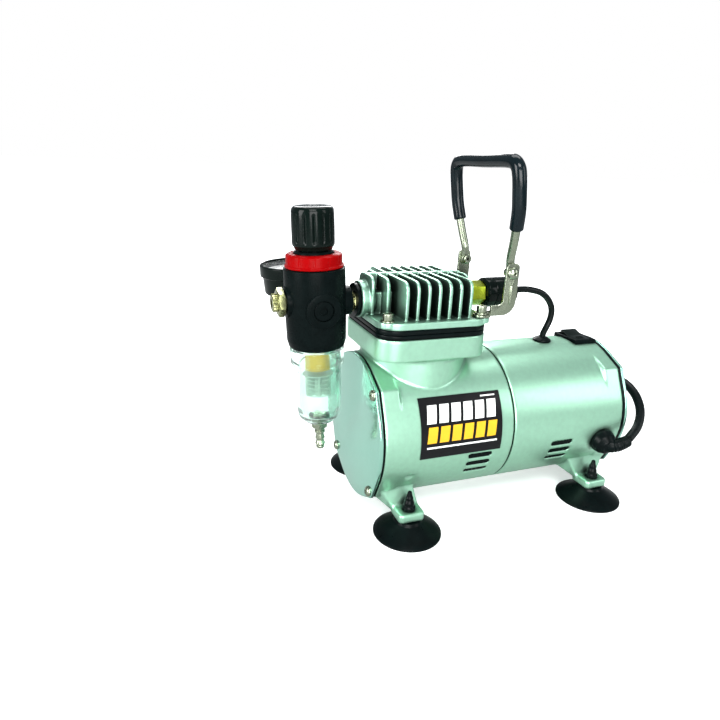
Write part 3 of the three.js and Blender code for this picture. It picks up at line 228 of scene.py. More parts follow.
def material(name, slot, colour, roughness, metallic=0.0, spread=0.0, scale=60, bump=None, coat=0.0,
             rough_spread=0.0, stretch=(1, 1, 1), painted_shade_reach=None, **sockets):
    """A Principled surface whose colour and roughness vary a little over it, with a fine bump.

    slot is not used. spread and rough_spread are how far colour and
    roughness vary, at a noise of the given scale. bump is (scale, strength). painted_shade_reach is the
    reach, in metres, of painted shade: ambient occlusion darkens the colour in narrow gaps and crevices,
    where shadow falls. Further names are inputs of the shader."""
    made = bpy.data.materials.new(name)
    made.use_nodes = True
    tree = made.node_tree
    shader = tree.nodes["Principled BSDF"]
    shader.inputs["Metallic"].default_value = metallic
    shader.inputs["Coat Weight"].default_value = coat
    for socket, value in sockets.items():
        shader.inputs[socket.replace("_", " ")].default_value = value
    place = add_node(tree, "TexCoord")
    mapping = add_node(tree, "Mapping", Scale=stretch, Vector=place.outputs["Object"])

    def noise(size, detail=3.0):
        return add_node(tree, "TexNoise", Scale=size, Detail=detail,
                        Vector=mapping.outputs["Vector"]).outputs["Fac"]

    ramp = add_node(tree, "ValToRGB", Fac=noise(scale))
    low, high = ramp.color_ramp.elements
    low.position, high.position = 0.3, 0.7
    low.color = (*[max(0.0, c * (1 - spread)) for c in colour], 1)
    high.color = (*[min(1.0, c * (1 + spread)) for c in colour], 1)
    tint = ramp.outputs["Color"]
    # Painted shade: ambient occlusion darkens the base colour in narrow gaps and crevices, where shadow
    # falls.
    if painted_shade_reach:
        shade = add_node(tree, "AmbientOcclusion", Distance=painted_shade_reach)
        shade.samples = 8
        deepen = add_node(tree, "Math", "POWER")
        feed(tree, deepen.inputs[0], shade.outputs["AO"])
        feed(tree, deepen.inputs[1], PAINTED_SHADE_CONTRAST)
        painted_shade_tint = add_node(tree, "VectorMath", "SCALE", Scale=deepen.outputs["Value"])
        feed(tree, painted_shade_tint.inputs[0], tint)
        tint = painted_shade_tint.outputs["Vector"]
    feed(tree, shader.inputs["Base Color"], tint)
    span = add_node(tree, "MapRange", Value=noise(scale * 2.3))
    feed(tree, span.inputs["To Min"], max(0.02, roughness - rough_spread))
    feed(tree, span.inputs["To Max"], min(1.0, roughness + rough_spread))
    feed(tree, shader.inputs["Roughness"], span.outputs["Result"])
    if bump:
        size, strength = bump
        relief = add_node(tree, "Bump", Strength=strength, Distance=BUMP_DEPTH, Height=noise(size, 5.0))
        feed(tree, shader.inputs["Normal"], relief.outputs["Normal"])
    return made


# The castings get painted shade in their narrow gaps, deepest between the head's fins.
# name, slot, colour, roughness, metallic, spread, scale, bump, coat, rough_spread, stretch
CAST = material("cast_alloy_paint", "cast_alloy", (0.38, 0.68, 0.50), 0.36, 0.85, 0.04, 340, (1500, 0.12),
                0.08, 0.06, painted_shade_reach=0.0035, Coat_Roughness=0.25)
CAST_HEAD = material("cast_head_paint", "cast_alloy", (0.39, 0.68, 0.52), 0.36, 0.85, 0.05, 300,
                     (1300, 0.16), 0.05, 0.06, painted_shade_reach=0.011, Coat_Roughness=0.25)
COVER = material("cover_sheet", "cover_alloy", (0.36, 0.66, 0.54), 0.15, 0.9, 0.02, 260, (1700, 0.03),
                 0.1, 0.03)
MACHINED = material("machined_alloy", None, (0.62, 0.66, 0.64), 0.28, 1.0, 0.05, 120, (700, 0.08), 0,
                    0.08, (1, 1, 12))
ZINC = material("zinc_plate", "zinc_steel", (0.31, 0.35, 0.26), 0.27, 1.0, 0.05, 240, (500, 0.03), 0,
                0.04)
BRASS = material("brass", "brass", (0.30, 0.31, 0.15), 0.26, 1.0, 0.06, 200, (500, 0.03), 0, 0.05)
OLIVE = material("yellow_zinc", "brass", (0.29, 0.36, 0.02), 0.30, 0.85, 0.10, 220, (500, 0.04), 0, 0.08)
GLOSS_BLACK = material("black_gloss_plastic", "black_plastic", (0.002, 0.005, 0.004), 0.12, 0, 0.2, 150,
                       (800, 0.02), 0, 0.04, Specular_IOR_Level=0.12)
SATIN_BLACK = material("black_satin_plastic", "black_plastic", (0.002, 0.004, 0.004), 0.28, 0, 0.2, 200,
                       (1600, 0.06), 0, 0.05, Specular_IOR_Level=0.035)
RUBBER = material("black_rubber", "black_rubber", (0.001, 0.003, 0.003), 0.30, 0, 0.3, 160, (1200, 0.08),
                  0, 0.06, Specular_IOR_Level=0.10)
VINYL = material("handle_vinyl", "black_rubber", (0.002, 0.006, 0.008), 0.16, 0, 0.2, 120, (600, 0.04), 0,
                 0.04, Specular_IOR_Level=0.24)
CORD_SKIN = material("cord_pvc", "black_rubber", (0.002, 0.004, 0.004), 0.28, 0, 0.2, 220, (1400, 0.06),
                     0, 0.05, Specular_IOR_Level=0.16)
RED = material("red_plastic", "red_plastic", (0.24, 0.0005, 0.001), 0.28, 0, 0.08, 160, (900, 0.05), 0,
               0.05, Specular_IOR_Level=0.05)
BRONZE = material("sintered_bronze", "sintered_bronze", (0.56, 0.32, 0.03), 0.62, 0.25, 0.30, 1600,
                  (2400, 0.8), 0, 0.08)
DIAL = material("dial_white", "dial_white", (0.86, 0.88, 0.86), 0.5, 0, 0.01, 90, (900, 0.02))
BAFFLE = material("baffle_white", "dial_white", (0.38, 0.45, 0.40), 0.45, 0, 0.03, 120, (900, 0.04))
LAMINATED = material("laminations", None, (0.30, 0.31, 0.32), 0.45, 0.9, 0.2, 60, (400, 0.3), 0, 0.1,
                     (40, 1, 1))
LABEL_BLACK = material("label_black", "black_plastic", (0.004, 0.004, 0.005), 0.30, 0, 0.1, 200,
                       (1500, 0.03), 0, 0.04, Specular_IOR_Level=0.2)
LABEL_WHITE = material("label_white", "dial_white", (0.86, 0.88, 0.86), 0.4, 0, 0.02, 200, (1500, 0.03),
                       0, 0.04)
LABEL_YELLOW = material("label_yellow", "brass", (0.74, 0.40, 0.01), 0.4, 0, 0.04, 200, (1500, 0.03), 0,
                        0.04)
DARK_PRINT = material("dial_print", "black_plastic", (0.02, 0.02, 0.02), 0.5, 0, 0.1, 200)
CLEAR = material("clear_polycarbonate", "clear_plastic", (0.70, 0.90, 0.81), 0.02, 0, 0, 100, None, 0, 0,
                 Transmission_Weight=1.0, IOR=1.45, Alpha=0.9)
LENS = material("gauge_lens", "clear_plastic", (0.98, 1.0, 0.99), 0.02, 0, 0, 100, None, 0, 0,
                Transmission_Weight=1.0, IOR=1.3, Alpha=0.12)


# ---------------------------------------------------------------- outlines
def fillet(points, radius, closed=True, steps=4):
    """Rounds the corners of an outline. A point may carry its own radius as a third number."""
    rounded = []
    count = len(points)
    for i, point in enumerate(points):
        here = Vector(point[:2])
        r = point[2] if len(point) > 2 else radius
        if r <= 0 or (not closed and i in (0, count - 1)):
            rounded.append(tuple(here))
            continue
        before, after = Vector(points[i - 1][:2]), Vector(points[(i + 1) % count][:2])
        to_before, to_after = (before - here), (after - here)
        turn = math.pi - to_before.angle(to_after)
        if turn < 0.02:
            rounded.append(tuple(here))
            continue
        reach = min(r * math.tan(turn / 2), 0.48 * to_before.length, 0.48 * to_after.length)
        start, end = here + to_before.normalized() * reach, here + to_after.normalized() * reach
        for step in range(steps + 1):
            t = step / steps
            rounded.append(tuple(start * (1 - t) ** 2 + here * 2 * t * (1 - t) + end * t * t))
    return rounded


def arc(cx, cy, r, first, last, steps=12):
    angles = [math.radians(first + (last - first) * i / steps) for i in range(steps + 1)]
    return [(cx + r * math.cos(a), cy + r * math.sin(a)) for a in angles]


def rounded_rectangle(half_x, half_y, r, steps=10):
    outline = []
    for quarter, (sx, sy) in enumerate(((1, 1), (-1, 1), (-1, -1), (1, -1))):
        outline += arc(sx * (half_x - r), sy * (half_y - r), r, quarter * 90, quarter * 90 + 90, steps)
    return outline


def lug_outline(r, half, corner=1.2):
    """A circle with a screw lug at each corner of a square, whose sides are tangents of the circle."""
    reach = 45 - math.degrees(math.acos(r / (half * math.sqrt(2))))
    outline = []
    for quarter in range(4):
        outline += [(*p, 0) for p in arc(0, 0, r, quarter * 90 - reach, quarter * 90 + reach, 14)]
        quarter_turn = Matrix.Rotation(math.radians(quarter * 90), 2)
        outline.append((*(quarter_turn @ Vector((half, half))), corner))
    return fillet(outline, 0)


def regular(sides, r, spin=0.0):
    return [(r * math.cos(a), r * math.sin(a))
            for a in (2 * math.pi * i / sides + spin for i in range(sides))]


# ---------------------------------------------------------------- solids, as bmesh in millimetres
AXES = {
    "X": Matrix(((0, 0, 1), (1, 0, 0), (0, 1, 0))).to_4x4(),
    "Y": Matrix(((1, 0, 0), (0, 0, 1), (0, 1, 0))).to_4x4(),
    "Z": Matrix.Identity(4),
}


def finish_solid(bm, along="Z", at=(0, 0, 0)):
    bm.transform(Matrix.Translation(at) @ AXES[along])
    bmesh.ops.remove_doubles(bm, verts=bm.verts, dist=1e-5)
    bmesh.ops.recalc_face_normals(bm, faces=bm.faces)
    return bm


def loft(rings, close_ends=True, close_loop=False):
    bm = bmesh.new()
    rows = [[bm.verts.new(p) for p in ring] for ring in rings]
    pairs = list(zip(rows, rows[1:])) + ([(rows[-1], rows[0])] if close_loop else [])
    for lower, upper in pairs:
        for i in range(len(lower)):
            j = (i + 1) % len(lower)
            bm.faces.new((lower[i], lower[j], upper[j], upper[i]))
    if close_ends and not close_loop:
        bm.faces.new(rows[0])
        bm.faces.new(rows[-1])
    return bm


def revolve(profile, sides=64, along="Z", at=(0, 0, 0), ring=False):
    """Spins a profile of (radius, height) points. A ring's profile closes on itself."""
    rings = []
    for r, h in profile:
        r = max(r, 1e-4)
        rings.append([(r * math.cos(a), r * math.sin(a), h)
                      for a in (2 * math.pi * i / sides for i in range(sides))])
    bm = loft(rings, close_loop=ring)
    bmesh.ops.remove_doubles(bm, verts=bm.verts, dist=1e-3)
    return finish_solid(bm, along, at)


def offset(outline, distance):
    """Moves each side of a counterclockwise outline inwards."""
    inner = []
    count = len(outline)
    for i, point in enumerate(outline):
        here = Vector(point)
        before, after = here - Vector(outline[i - 1]), Vector(outline[(i + 1) % count]) - here
        if before.length < 1e-9:
            before = after
        if after.length < 1e-9:
            after = before
        n1 = Vector((-before.y, before.x)).normalized()
        n2 = Vector((-after.y, after.x)).normalized()
        middle = (n1 + n2).normalized()
        inner.append(tuple(here + middle * distance / max(0.5, middle.dot(n1))))
    return inner


def extrude(outline, low, high, edge=0.4, along="Z", at=(0, 0, 0), steps=3):
    """A plate with rounded edges, from an outline and two heights."""
    area = sum(a[0] * b[1] - b[0] * a[1] for a, b in zip(outline, outline[1:] + outline[:1]))
    if area < 0:
        outline = outline[::-1]
    clean = [p for i, p in enumerate(outline) if (Vector(p) - Vector(outline[i - 1])).length > 1e-4]
    rings = []
    turns = [math.pi / 2 * i / steps for i in range(steps + 1)] if edge > 0 else [math.pi / 2]
    for angle in turns:
        inset, rise = edge * (1 - math.sin(angle)), edge * (1 - math.cos(angle))
        rings.append([(*p, low + rise) for p in offset(clean, inset)])
    for angle in reversed(turns):
        inset, rise = edge * (1 - math.sin(angle)), edge * (1 - math.cos(angle))
        rings.append([(*p, high - rise) for p in offset(clean, inset)])
    return finish_solid(loft(rings), along, at)


def block(x0, x1, y0, y1, z0, z1, edge=0.0):
    return extrude([(x0, y0), (x1, y0), (x1, y1), (x0, y1)], z0, z1, edge)


QUARTER = [math.pi / 2 * i / 3 for i in range(4)]


def rod(r, low, high, sides=48, edge=0.3, along="Z", at=(0, 0, 0)):
    """A cylinder with rounded rims. Its heights run along its axis."""
    edge = min(edge, r * 0.9, (high - low) / 2.1)
    profile = [(0, low), *[(r - edge + edge * math.sin(a), low + edge - edge * math.cos(a))
                           for a in QUARTER]]
    profile += [*[(r - edge + edge * math.cos(a), high - edge + edge * math.sin(a)) for a in QUARTER],
                (0, high)]
    return revolve(profile, sides, along, at)


def rod_x(r, x0, x1, sides=96, edge=0.0, z=AXIS_Z):
    """A cylinder along X in the middle plane, on the shaft's axis unless z says otherwise."""
    return rod(r, x0, x1, sides, edge, "X", (0, 0, z))


def rod_y(r, y0, y1, sides, edge, x, z):
    return rod(r, y0, y1, sides, edge, "Y", (x, 0, z))


def raised(base, profile):
    """A profile of (radius, height, corner radius if any), with base added to its heights."""
    return [(r, base + height, *corner) for r, height, *corner in profile]


def turned(profile, sides=64, along="Z", at=(0, 0, 0), ring=False):
    """A turned solid whose profile's points may carry corner radii."""
    return revolve(fillet(profile, 0, closed=ring), sides, along, at, ring)


def catmull(points, per_span=8):
    """Points along a centripetal Catmull-Rom curve."""
    pts = [Vector(p) for p in points]
    pts = [2 * pts[0] - pts[1], *pts, 2 * pts[-1] - pts[-2]]
    line = []
    for i in range(1, len(pts) - 2):
        p0, p1, p2, p3 = pts[i - 1 : i + 3]
        t1 = max(1e-6, (p1 - p0).length ** 0.5)
        t2 = t1 + max(1e-6, (p2 - p1).length ** 0.5)
        t3 = t2 + max(1e-6, (p3 - p2).length ** 0.5)
        for step in range(per_span):
            t = t1 + (t2 - t1) * step / per_span
            a1 = p0 * ((t1 - t) / t1) + p1 * (t / t1)
            a2 = p1 * ((t2 - t) / (t2 - t1)) + p2 * ((t - t1) / (t2 - t1))
            a3 = p2 * ((t3 - t) / (t3 - t2)) + p3 * ((t - t2) / (t3 - t2))
            b1 = a1 * ((t2 - t) / t2) + a2 * (t / t2)
            b2 = a2 * ((t3 - t) / (t3 - t1)) + a3 * ((t - t1) / (t3 - t1))
            line.append(b1 * ((t2 - t) / (t2 - t1)) + b2 * ((t - t1) / (t2 - t1)))
    line.append(pts[-2])
    return line


def sweep(line, radius, sides=24, end_round=0.0):
    """A round bar along a line of points. radius is a number or a function of the share of the way."""
    line = [Vector(p) for p in line]
    total = len(line) - 1
    along = (line[1] - line[0]).normalized()
    side = along.orthogonal().normalized()
    rings = []
    for i, centre in enumerate(line):
        ahead = line[min(i + 1, total)] - line[max(i - 1, 0)]
        ahead.normalize()
        side = (side - ahead * side.dot(ahead)).normalized()
        up = ahead.cross(side)
        r = radius(i / total) if callable(radius) else radius
        rings.append([centre + side * u + up * v for u, v in regular(sides, r)])
    if end_round:
        first, last = rings[0], rings[-1]
        back, on = (line[0] - line[1]).normalized(), (line[-1] - line[-2]).normalized()
        heads, tails = [], []
        for angle in (0.35, 0.8, 1.25):
            rise = math.sin(angle) * end_round
            keep = 1 - (1 - math.cos(angle)) * end_round / radius
            heads.insert(0, [line[0] + (p - line[0]) * keep + back * rise for p in first])
            tails.append([line[-1] + (p - line[-1]) * keep + on * rise for p in last])
        rings = heads + rings + tails
    return finish_solid(loft(rings))


def merged(*solids):
    """Puts several solids in one bmesh, side by side."""
    bm = bmesh.new()
    for solid in solids:
        scratch = bpy.data.meshes.new("scratch")
        solid.to_mesh(scratch)
        bm.from_mesh(scratch)
        bpy.data.meshes.remove(scratch)
    return bm


def moved(bm, matrix):
    bm.transform(matrix)
    return bm


def mirrored(bm):
    bm.transform(Matrix.Scale(-1, 4, (0, 1, 0)))
    bmesh.ops.reverse_faces(bm, faces=bm.faces)
    return bm


def scratch_object(bm):
    mesh = bpy.data.meshes.new("scratch")
    bm.to_mesh(mesh)
    made = bpy.data.objects.new("scratch", mesh)
    bpy.context.scene.collection.objects.link(made)
    return made


def with_modifiers(bm, *settings):
    """The mesh after some modifiers, each given as (type, {setting: value})."""
    made = scratch_object(bm)
    for kind, values in settings:
        modifier = made.modifiers.new(kind, kind)
        for key, value in values.items():
            setattr(modifier, key, value)
    graph = bpy.context.evaluated_depsgraph_get()
    result = bmesh.new()
    result.from_mesh(made.evaluated_get(graph).to_mesh())
    bpy.data.objects.remove(made)
    return result


def boolean(bm, operation, *others):
    tools = [scratch_object(other) for other in others]
    steps = [("BOOLEAN", {"operation": operation, "object": tool, "solver": "EXACT"}) for tool in tools]
    result = with_modifiers(bm, *steps)
    for tool in tools:
        bpy.data.objects.remove(tool)
    return result


def join(first, *others):
    return boolean(first, "UNION", *others)


def cut(first, *others):
    return boolean(first, "DIFFERENCE", *others)


def cast(solid, voxel, relax):
    """Turns joined solids into one casting with small fillets in its corners and rounded edges."""
    return with_modifiers(
        solid,
        ("REMESH", {"mode": "VOXEL", "voxel_size": voxel, "adaptivity": 0.0}),
        ("SMOOTH", {"factor": 0.5, "iterations": relax}),
    )


def softened(solid, width, segments=2, angle=35):
    bevel = {"width": width, "segments": segments, "limit_method": "ANGLE",
             "angle_limit": math.radians(angle)}
    return with_modifiers(solid, ("BEVEL", bevel))


# ---------------------------------------------------------------- pieces
def piece(name, solid, surface, nodes=(), body="compressor", lean=False, crease=32):
    """Makes a solid into a shown piece that rides on a body and stands for CAD nodes."""
    mesh = bpy.data.meshes.new(name)
    solid.transform(PLACE @ LEAN if lean else PLACE)
    solid.to_mesh(mesh)
    solid.free()
    mesh.shade_smooth()
    mesh.set_sharp_from_angle(angle=math.radians(crease))
    mesh.materials.append(surface)
    made = bpy.data.objects.new(name, mesh)
    bpy.context.scene.collection.objects.link(made)
    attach(made, body)
    if nodes:
        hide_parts(*([nodes] if isinstance(nodes, str) else nodes))
    return made


def cad_finish(surface, *names):
    """Gives CAD nodes that keep their own shape a material."""
    for name in names:
        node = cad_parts[name]
        node.data.materials.clear()
        node.data.materials.append(surface)


# ---------------------------------------------------------------- castings and covers
def on_axis(bm):
    return moved(bm, Matrix.Translation((0, 0, AXIS_Z)))


def leg(x, side, root_x0, root_x1):
    """A leg that grows out of the casting, wider at its root, down to a flat pad."""
    points = []
    for lx in (x - PAD_HALF_X, x + PAD_HALF_X):
        points += [(lx, PAD_Y0, PAD_Z1), (lx, PAD_Y0 - 6, PAD_Z1), (lx, PAD_Y0, PAD_Z0 + 3)]
        points += [(lx, PAD_Y0 + 1, PAD_Z1), (lx, PAD_Y0 + 1, PAD_Z0 + 2.5)]
    for rx in (root_x0, root_x1):
        points += [(rx, 38.8, AXIS_Z - 28.5), (rx, 26, AXIS_Z - 39.5), (rx, 30, AXIS_Z - 33)]
    bm = bmesh.new()
    for point in points:
        bm.verts.new(point)
    bmesh.ops.convex_hull(bm, input=bm.verts)
    loose = [v for v in bm.verts if not v.link_faces]
    bmesh.ops.delete(bm, geom=loose, context="VERTS")
    half = (PAD_Y1 - PAD_Y0 + 4) / 2
    middle = (x, (PAD_Y1 + PAD_Y0 - 4) / 2, 0)
    pad = extrude(rounded_rectangle(PAD_HALF_X, half, 2.6, 5), PAD_Z0, PAD_Z1, 0.6, at=middle)
    solids = [bm, pad]
    if side < 0:
        solids = [mirrored(solid) for solid in solids]
    return solids


CRANKCASE_VENTS = (62.3, 79.3)
MOTOR_VENTS = (126.5, 143.3)
VENT_ARC = (-34, -6)  # degrees above the horizontal


def vent_slots(x0, x1):
    slots = []
    for side in (-1, 1):
        for drop in (12, 20, 28):
            slot = block(x0, x1, BODY_R - 10, BODY_R + 10, -1.7, 1.7)
            slot.transform(Matrix.Rotation(math.radians(-drop), 4, "X"))
            slots.append(on_axis(mirrored(slot) if side < 0 else slot))
    return slots


def peg_holes(x):
    return [rod(3.4, 0, 40, 24, 0, at=(x, side * FOOT_Y, 0)) for side in (-1, 1)]


def screw_holes(x0, x1):
    places = [(y, z) for y in (-SCREW_OFFSET, SCREW_OFFSET) for z in (-SCREW_OFFSET, SCREW_OFFSET)]
    return [rod(2.1, x0, x1, 20, 0, "X", (0, y, AXIS_Z + z)) for y, z in places]


def lug_ring(x0, x1, edge=0.5, inset=0.0):
    return on_axis(extrude(lug_outline(BODY_R - inset, LUG_HALF - inset), x0, x1, edge, "X"))


CAST_VOXEL = 0.75


def crankcase():
    flange = rounded_rectangle(HEAD_HALF_X, HEAD_HALF_Y, HEAD_CORNER_R)
    outside = join(
        rod_x(BODY_R, CASE_X0, SEAM_X - 0.25, 160, 0.7),
        lug_ring(CASE_X0, CASE_X0 + LUG_LENGTH),
        rod(BARREL_R, AXIS_Z, FLANGE_Z1 - 1, 128, 0, at=(HEAD_X, 0, 0)),
        extrude(flange, FLANGE_Z0, FLANGE_Z1, 0.6, at=(HEAD_X, 0, 0)),
        *leg(FOOT_X[0], -1, CASE_X0 + 1, 28),
        *leg(FOOT_X[0], 1, CASE_X0 + 1, 28),
    )
    hollow = cut(
        outside,
        rod_x(BODY_R - WALL, CASE_X0 - 1, 80),
        rod_x(BODY_R - WALL, 87, SEAM_X + 1),
        rod_x(15.3, 70, 95, 64),
        rod(26.3, AXIS_Z, FLANGE_Z1 + 1, 96, 0, at=(HEAD_X, 0, 0)),
        *screw_holes(CASE_X0 - 1, CASE_X0 + LUG_LENGTH - 1),
        *vent_slots(*CRANKCASE_VENTS),
        *peg_holes(FOOT_X[0]),
    )
    piece("crankcase", cast(hollow, CAST_VOXEL, 5), CAST, "crankcase_housing")


def gland_frame(bm):
    tilt = math.radians(GLAND_TILT)
    spot = Matrix.Translation((GLAND_X, -BODY_R * math.cos(tilt), AXIS_Z - BODY_R * math.sin(tilt)))
    return moved(bm, spot @ Matrix.Rotation(math.pi / 2 + tilt, 4, "X"))


def rocker_box(margin, z0, z1, edge=0.0):
    half_x, half_y = ROCKER_HALF_X - margin, ROCKER_HALF_Y - margin
    return block(ROCKER_X - half_x, ROCKER_X + half_x, ROCKER_Y - half_y, ROCKER_Y + half_y, z0, z1, edge)


def motor_casting():
    outside = join(
        rod_x(BODY_R, SEAM_X + 0.25, CASE_X1, 160, 0.7),
        lug_ring(CASE_X1 - LUG_LENGTH, CASE_X1),
        *leg(FOOT_X[1], -1, 150, CASE_X1 - 1),
        *leg(FOOT_X[1], 1, 150, CASE_X1 - 1),
    )
    hollow = cut(
        outside,
        rod_x(BODY_R - WALL, SEAM_X - 1, 151),
        rod_x(BODY_R - WALL, 160, CASE_X1 + 1),
        rod_x(13.3, 140, 170, 64),
        *screw_holes(CASE_X1 - LUG_LENGTH + 1, CASE_X1 + 1),
        *vent_slots(*MOTOR_VENTS),
        *peg_holes(FOOT_X[1]),
        rod(4.2, 95, 115, 24, 0, at=(GROMMET_X, 0, 0)),
        rocker_box(1, 90, 115),
        gland_frame(rod(4.5, -12, 6, 24, 0)),
    )
    piece("motor_case", cast(hollow, CAST_VOXEL, 5), CAST, "motor_housing")


def end_covers():
    for name, x0, x1 in (("front", 0, COVER_T + 0.25), ("rear", CASE_X1 + 2.4, CASE_X1 + 4.4)):
        plate = lug_ring(x0, x1, 0.55)
        if name == "front":
            plate = cut(plate, *screw_holes(x0 - 1, x1 + 1))
        piece(name + "_cover_plate", plate, COVER, name + "_cover")
    for name, x0, x1 in (("front", COVER_T + 0.3, COVER_T + 1.1),
                         ("rear", CASE_X1 + 0.3, CASE_X1 + 2.1)):
        ring = cut(lug_ring(x0, x1, 0.1, GASKET_INSET), rod_x(BODY_R - WALL, x0 - 1, x1 + 1))
        piece(name + "_gasket_plate", ring, RUBBER, name + "_gasket")


def pan_screw(name, nodes, place, outwards, turn):
    """A pan-head screw with a cross recess. outwards is the way that its head looks, in X."""
    profile = [(0, 2.25), (1.4, 2.2), (2.6, 1.75), (3.3, 1.0), (3.5, 0.3), (3.4, 0.05), (1.8, 0),
               (1.8, -8), (0, -9)]
    arms = []
    for quarter in (0, 1):
        spin = Matrix.Rotation(turn + quarter * math.pi / 2, 4, "Z")
        arms.append(moved(block(-2.2, 2.2, -0.42, 0.42, 1.0, 3), spin))
    head = cut(revolve(profile, 40), *arms)
    head.transform(Matrix.Translation(place) @ Matrix.Rotation(outwards * math.pi / 2, 4, "Y"))
    piece(name, head, ZINC, nodes)


def cover_screws():
    number = 0
    for y in (-SCREW_OFFSET, SCREW_OFFSET):
        for z in (SCREW_OFFSET, -SCREW_OFFSET):
            number += 1
            turn = 0.5 * number
            front, rear = (-0.05, y, AXIS_Z + z), (CASE_X1 + 4.45, y, AXIS_Z + z)
            pan_screw(f"cover_screw_{number}", f"front_cover_screw_{number}", front, -1, turn)
            pan_screw(f"rear_screw_{number}", (), rear, 1, turn + 0.7)


# ---------------------------------------------------------------- cylinder head
HEAD_VOXEL = 0.48


def head_bolts():
    """(number, x, y) of the four bolts through the head."""
    corners = [(dx, dy) for dx in (-1, 1) for dy in (-1, 1)]
    return [(n, HEAD_X + dx * BOLT_DX, dy * BOLT_DY) for n, (dx, dy) in enumerate(corners, 1)]


def fin_outline(half_y):
    corners = [(-half_y, HEAD_Z0 + 1, 0), (half_y, HEAD_Z0 + 1, 0), (half_y, FIN_TOP_Z, 7),
               (-half_y, FIN_TOP_Z, 7)]
    return fillet(corners, 0, steps=8)


def cylinder_head():
    plate = rounded_rectangle(HEAD_HALF_X, HEAD_HALF_Y, HEAD_CORNER_R)
    solids = [extrude(plate, HEAD_Z0, HEAD_PLATE_TOP, 0.5, at=(HEAD_X, 0, 0))]
    for number in range(FIN_COUNT):
        x = FIRST_FIN_X + number * FIN_PITCH
        half_y = SET_BACK_FINS.get(number, FIN_HALF_Y)
        solids.append(extrude(fin_outline(half_y), x - FIN_T / 2 - 0.1, x + FIN_T / 2 + 0.1, 0.45, "X"))
    last = FIRST_FIN_X + (FIN_COUNT - 1) * FIN_PITCH
    solids += [
        block(FIRST_FIN_X, last, -1.5, 1.5, HEAD_Z0 + 1, FIN_TOP_Z + 0.6, 0.4),
        block(FIRST_FIN_X, last, -10, 10, HEAD_Z0 + 1, SWITCH_Z + 5),
        rod_x(11.5, -1, 8, 64, 0.8, PORT_Z + 1.5),
        rod_x(9, last, last + 4, 64, 0.5, SWITCH_Z),
    ]
    for _, x, y in head_bolts():
        solids.append(rod(5.2, HEAD_Z0 + 1, HEAD_PLATE_TOP + 0.25, 40, 0.2, at=(x, y, 0)))
    head = cast(join(*solids), HEAD_VOXEL, 2)
    piece("finned_head", head, CAST_HEAD, "cylinder_head")


def head_stack():
    outline = rounded_rectangle(HEAD_HALF_X - 0.4, HEAD_HALF_Y - 0.4, HEAD_CORNER_R - 0.4, 14)
    seal = [
        extrude(outline, FLANGE_Z1 + 0.3, FLANGE_Z1 + 2.7, 0.5, at=(HEAD_X, 0, 0)),
        extrude(outline, FLANGE_Z1 + 3.0, HEAD_Z0 - 0.3, 0.5, at=(HEAD_X, 0, 0)),
        extrude(offset(outline, 1.2), FLANGE_Z1 + 0.5, HEAD_Z0 - 0.5, 0.1, at=(HEAD_X, 0, 0)),
    ]
    ring = cut(join(*seal), rod(28, FLANGE_Z1, HEAD_Z0, 64, 0, at=(HEAD_X, 0, 0)))
    piece("head_seal", ring, RUBBER, "head_gasket")
    for number, x, y in head_bolts():
        seat = HEAD_PLATE_TOP + 0.3 + (STRAP_T + 0.3 if x > HEAD_X else 0)
        washer = revolve(raised(seat, [(2.2, 0), (4.3, 0), (4.4, 0.4), (4.2, 0.8), (2.2, 0.8)]), 48,
                         ring=True)
        cap = turned(raised(seat, [(0, 0.8), (3.1, 0.8, 0.3), (3.2, 5, 0.6), (0, 5)]), 48)
        recess = extrude(regular(6, 1.55, number), seat + 3, seat + 6, 0)
        bolt = moved(merged(cut(cap, recess), washer), Matrix.Translation((x, y, 0)))
        piece(f"head_screw_{number}", bolt, ZINC, f"head_bolt_{number}")


# ---------------------------------------------------------------- handle
def handle_path():
    lean = math.radians(HANDLE_LEAN)

    def at(rise, y):
        return (PIVOT_X - rise * math.sin(lean), y, PIVOT_Z + rise * math.cos(lean))

    leg_points = [(3, TAB_Y), (9, TAB_Y + 0.4), (18, 30.8), (28, 33.7), (38, 36), (46, HANDLE_HALF_Y)]
    bend = [(9, 0), (4, 1), (1, 4), (0, 9)]
    leg_points += [(HANDLE_RISE - drop, HANDLE_HALF_Y - inset) for drop, inset in bend]
    left = [at(rise, y) for rise, y in leg_points]
    right = [at(rise, -y) for rise, y in reversed(leg_points)]
    return [*left, at(HANDLE_RISE, 0), *right]


def handle():
    route = handle_path()
    rod_solid = sweep(catmull(route, 10), HANDLE_ROD_R, 32)
    tabs, trims, holes = [], [], []
    for side in (-1, 1):
        y = side * TAB_Y
        for face in (-1, 1):
            near, far = sorted((y + face * 1.2, y + face * 6))
            trims.append(block(PIVOT_X - 7, PIVOT_X + 7, near, far, PIVOT_Z - 2, PIVOT_Z + 8))
        tabs.append(rod_y(3.6, y - 1.2, y + 1.2, 48, 0.35, PIVOT_X, PIVOT_Z))
        holes.append(rod_y(1.8, y - 3, y + 3, 24, 0, PIVOT_X, PIVOT_Z))
    flat = softened(join(cut(rod_solid, *trims), *tabs), 0.25)
    piece("handle_rod", cut(flat, *holes), ZINC, "handle_bail", "handle", crease=40)
    grip = sweep(catmull(route[3:-3], 12), GRIP_R, 36, end_round=1.2)
    piece("handle_sleeve", grip, VINYL, "handle_grip", "handle", crease=60)


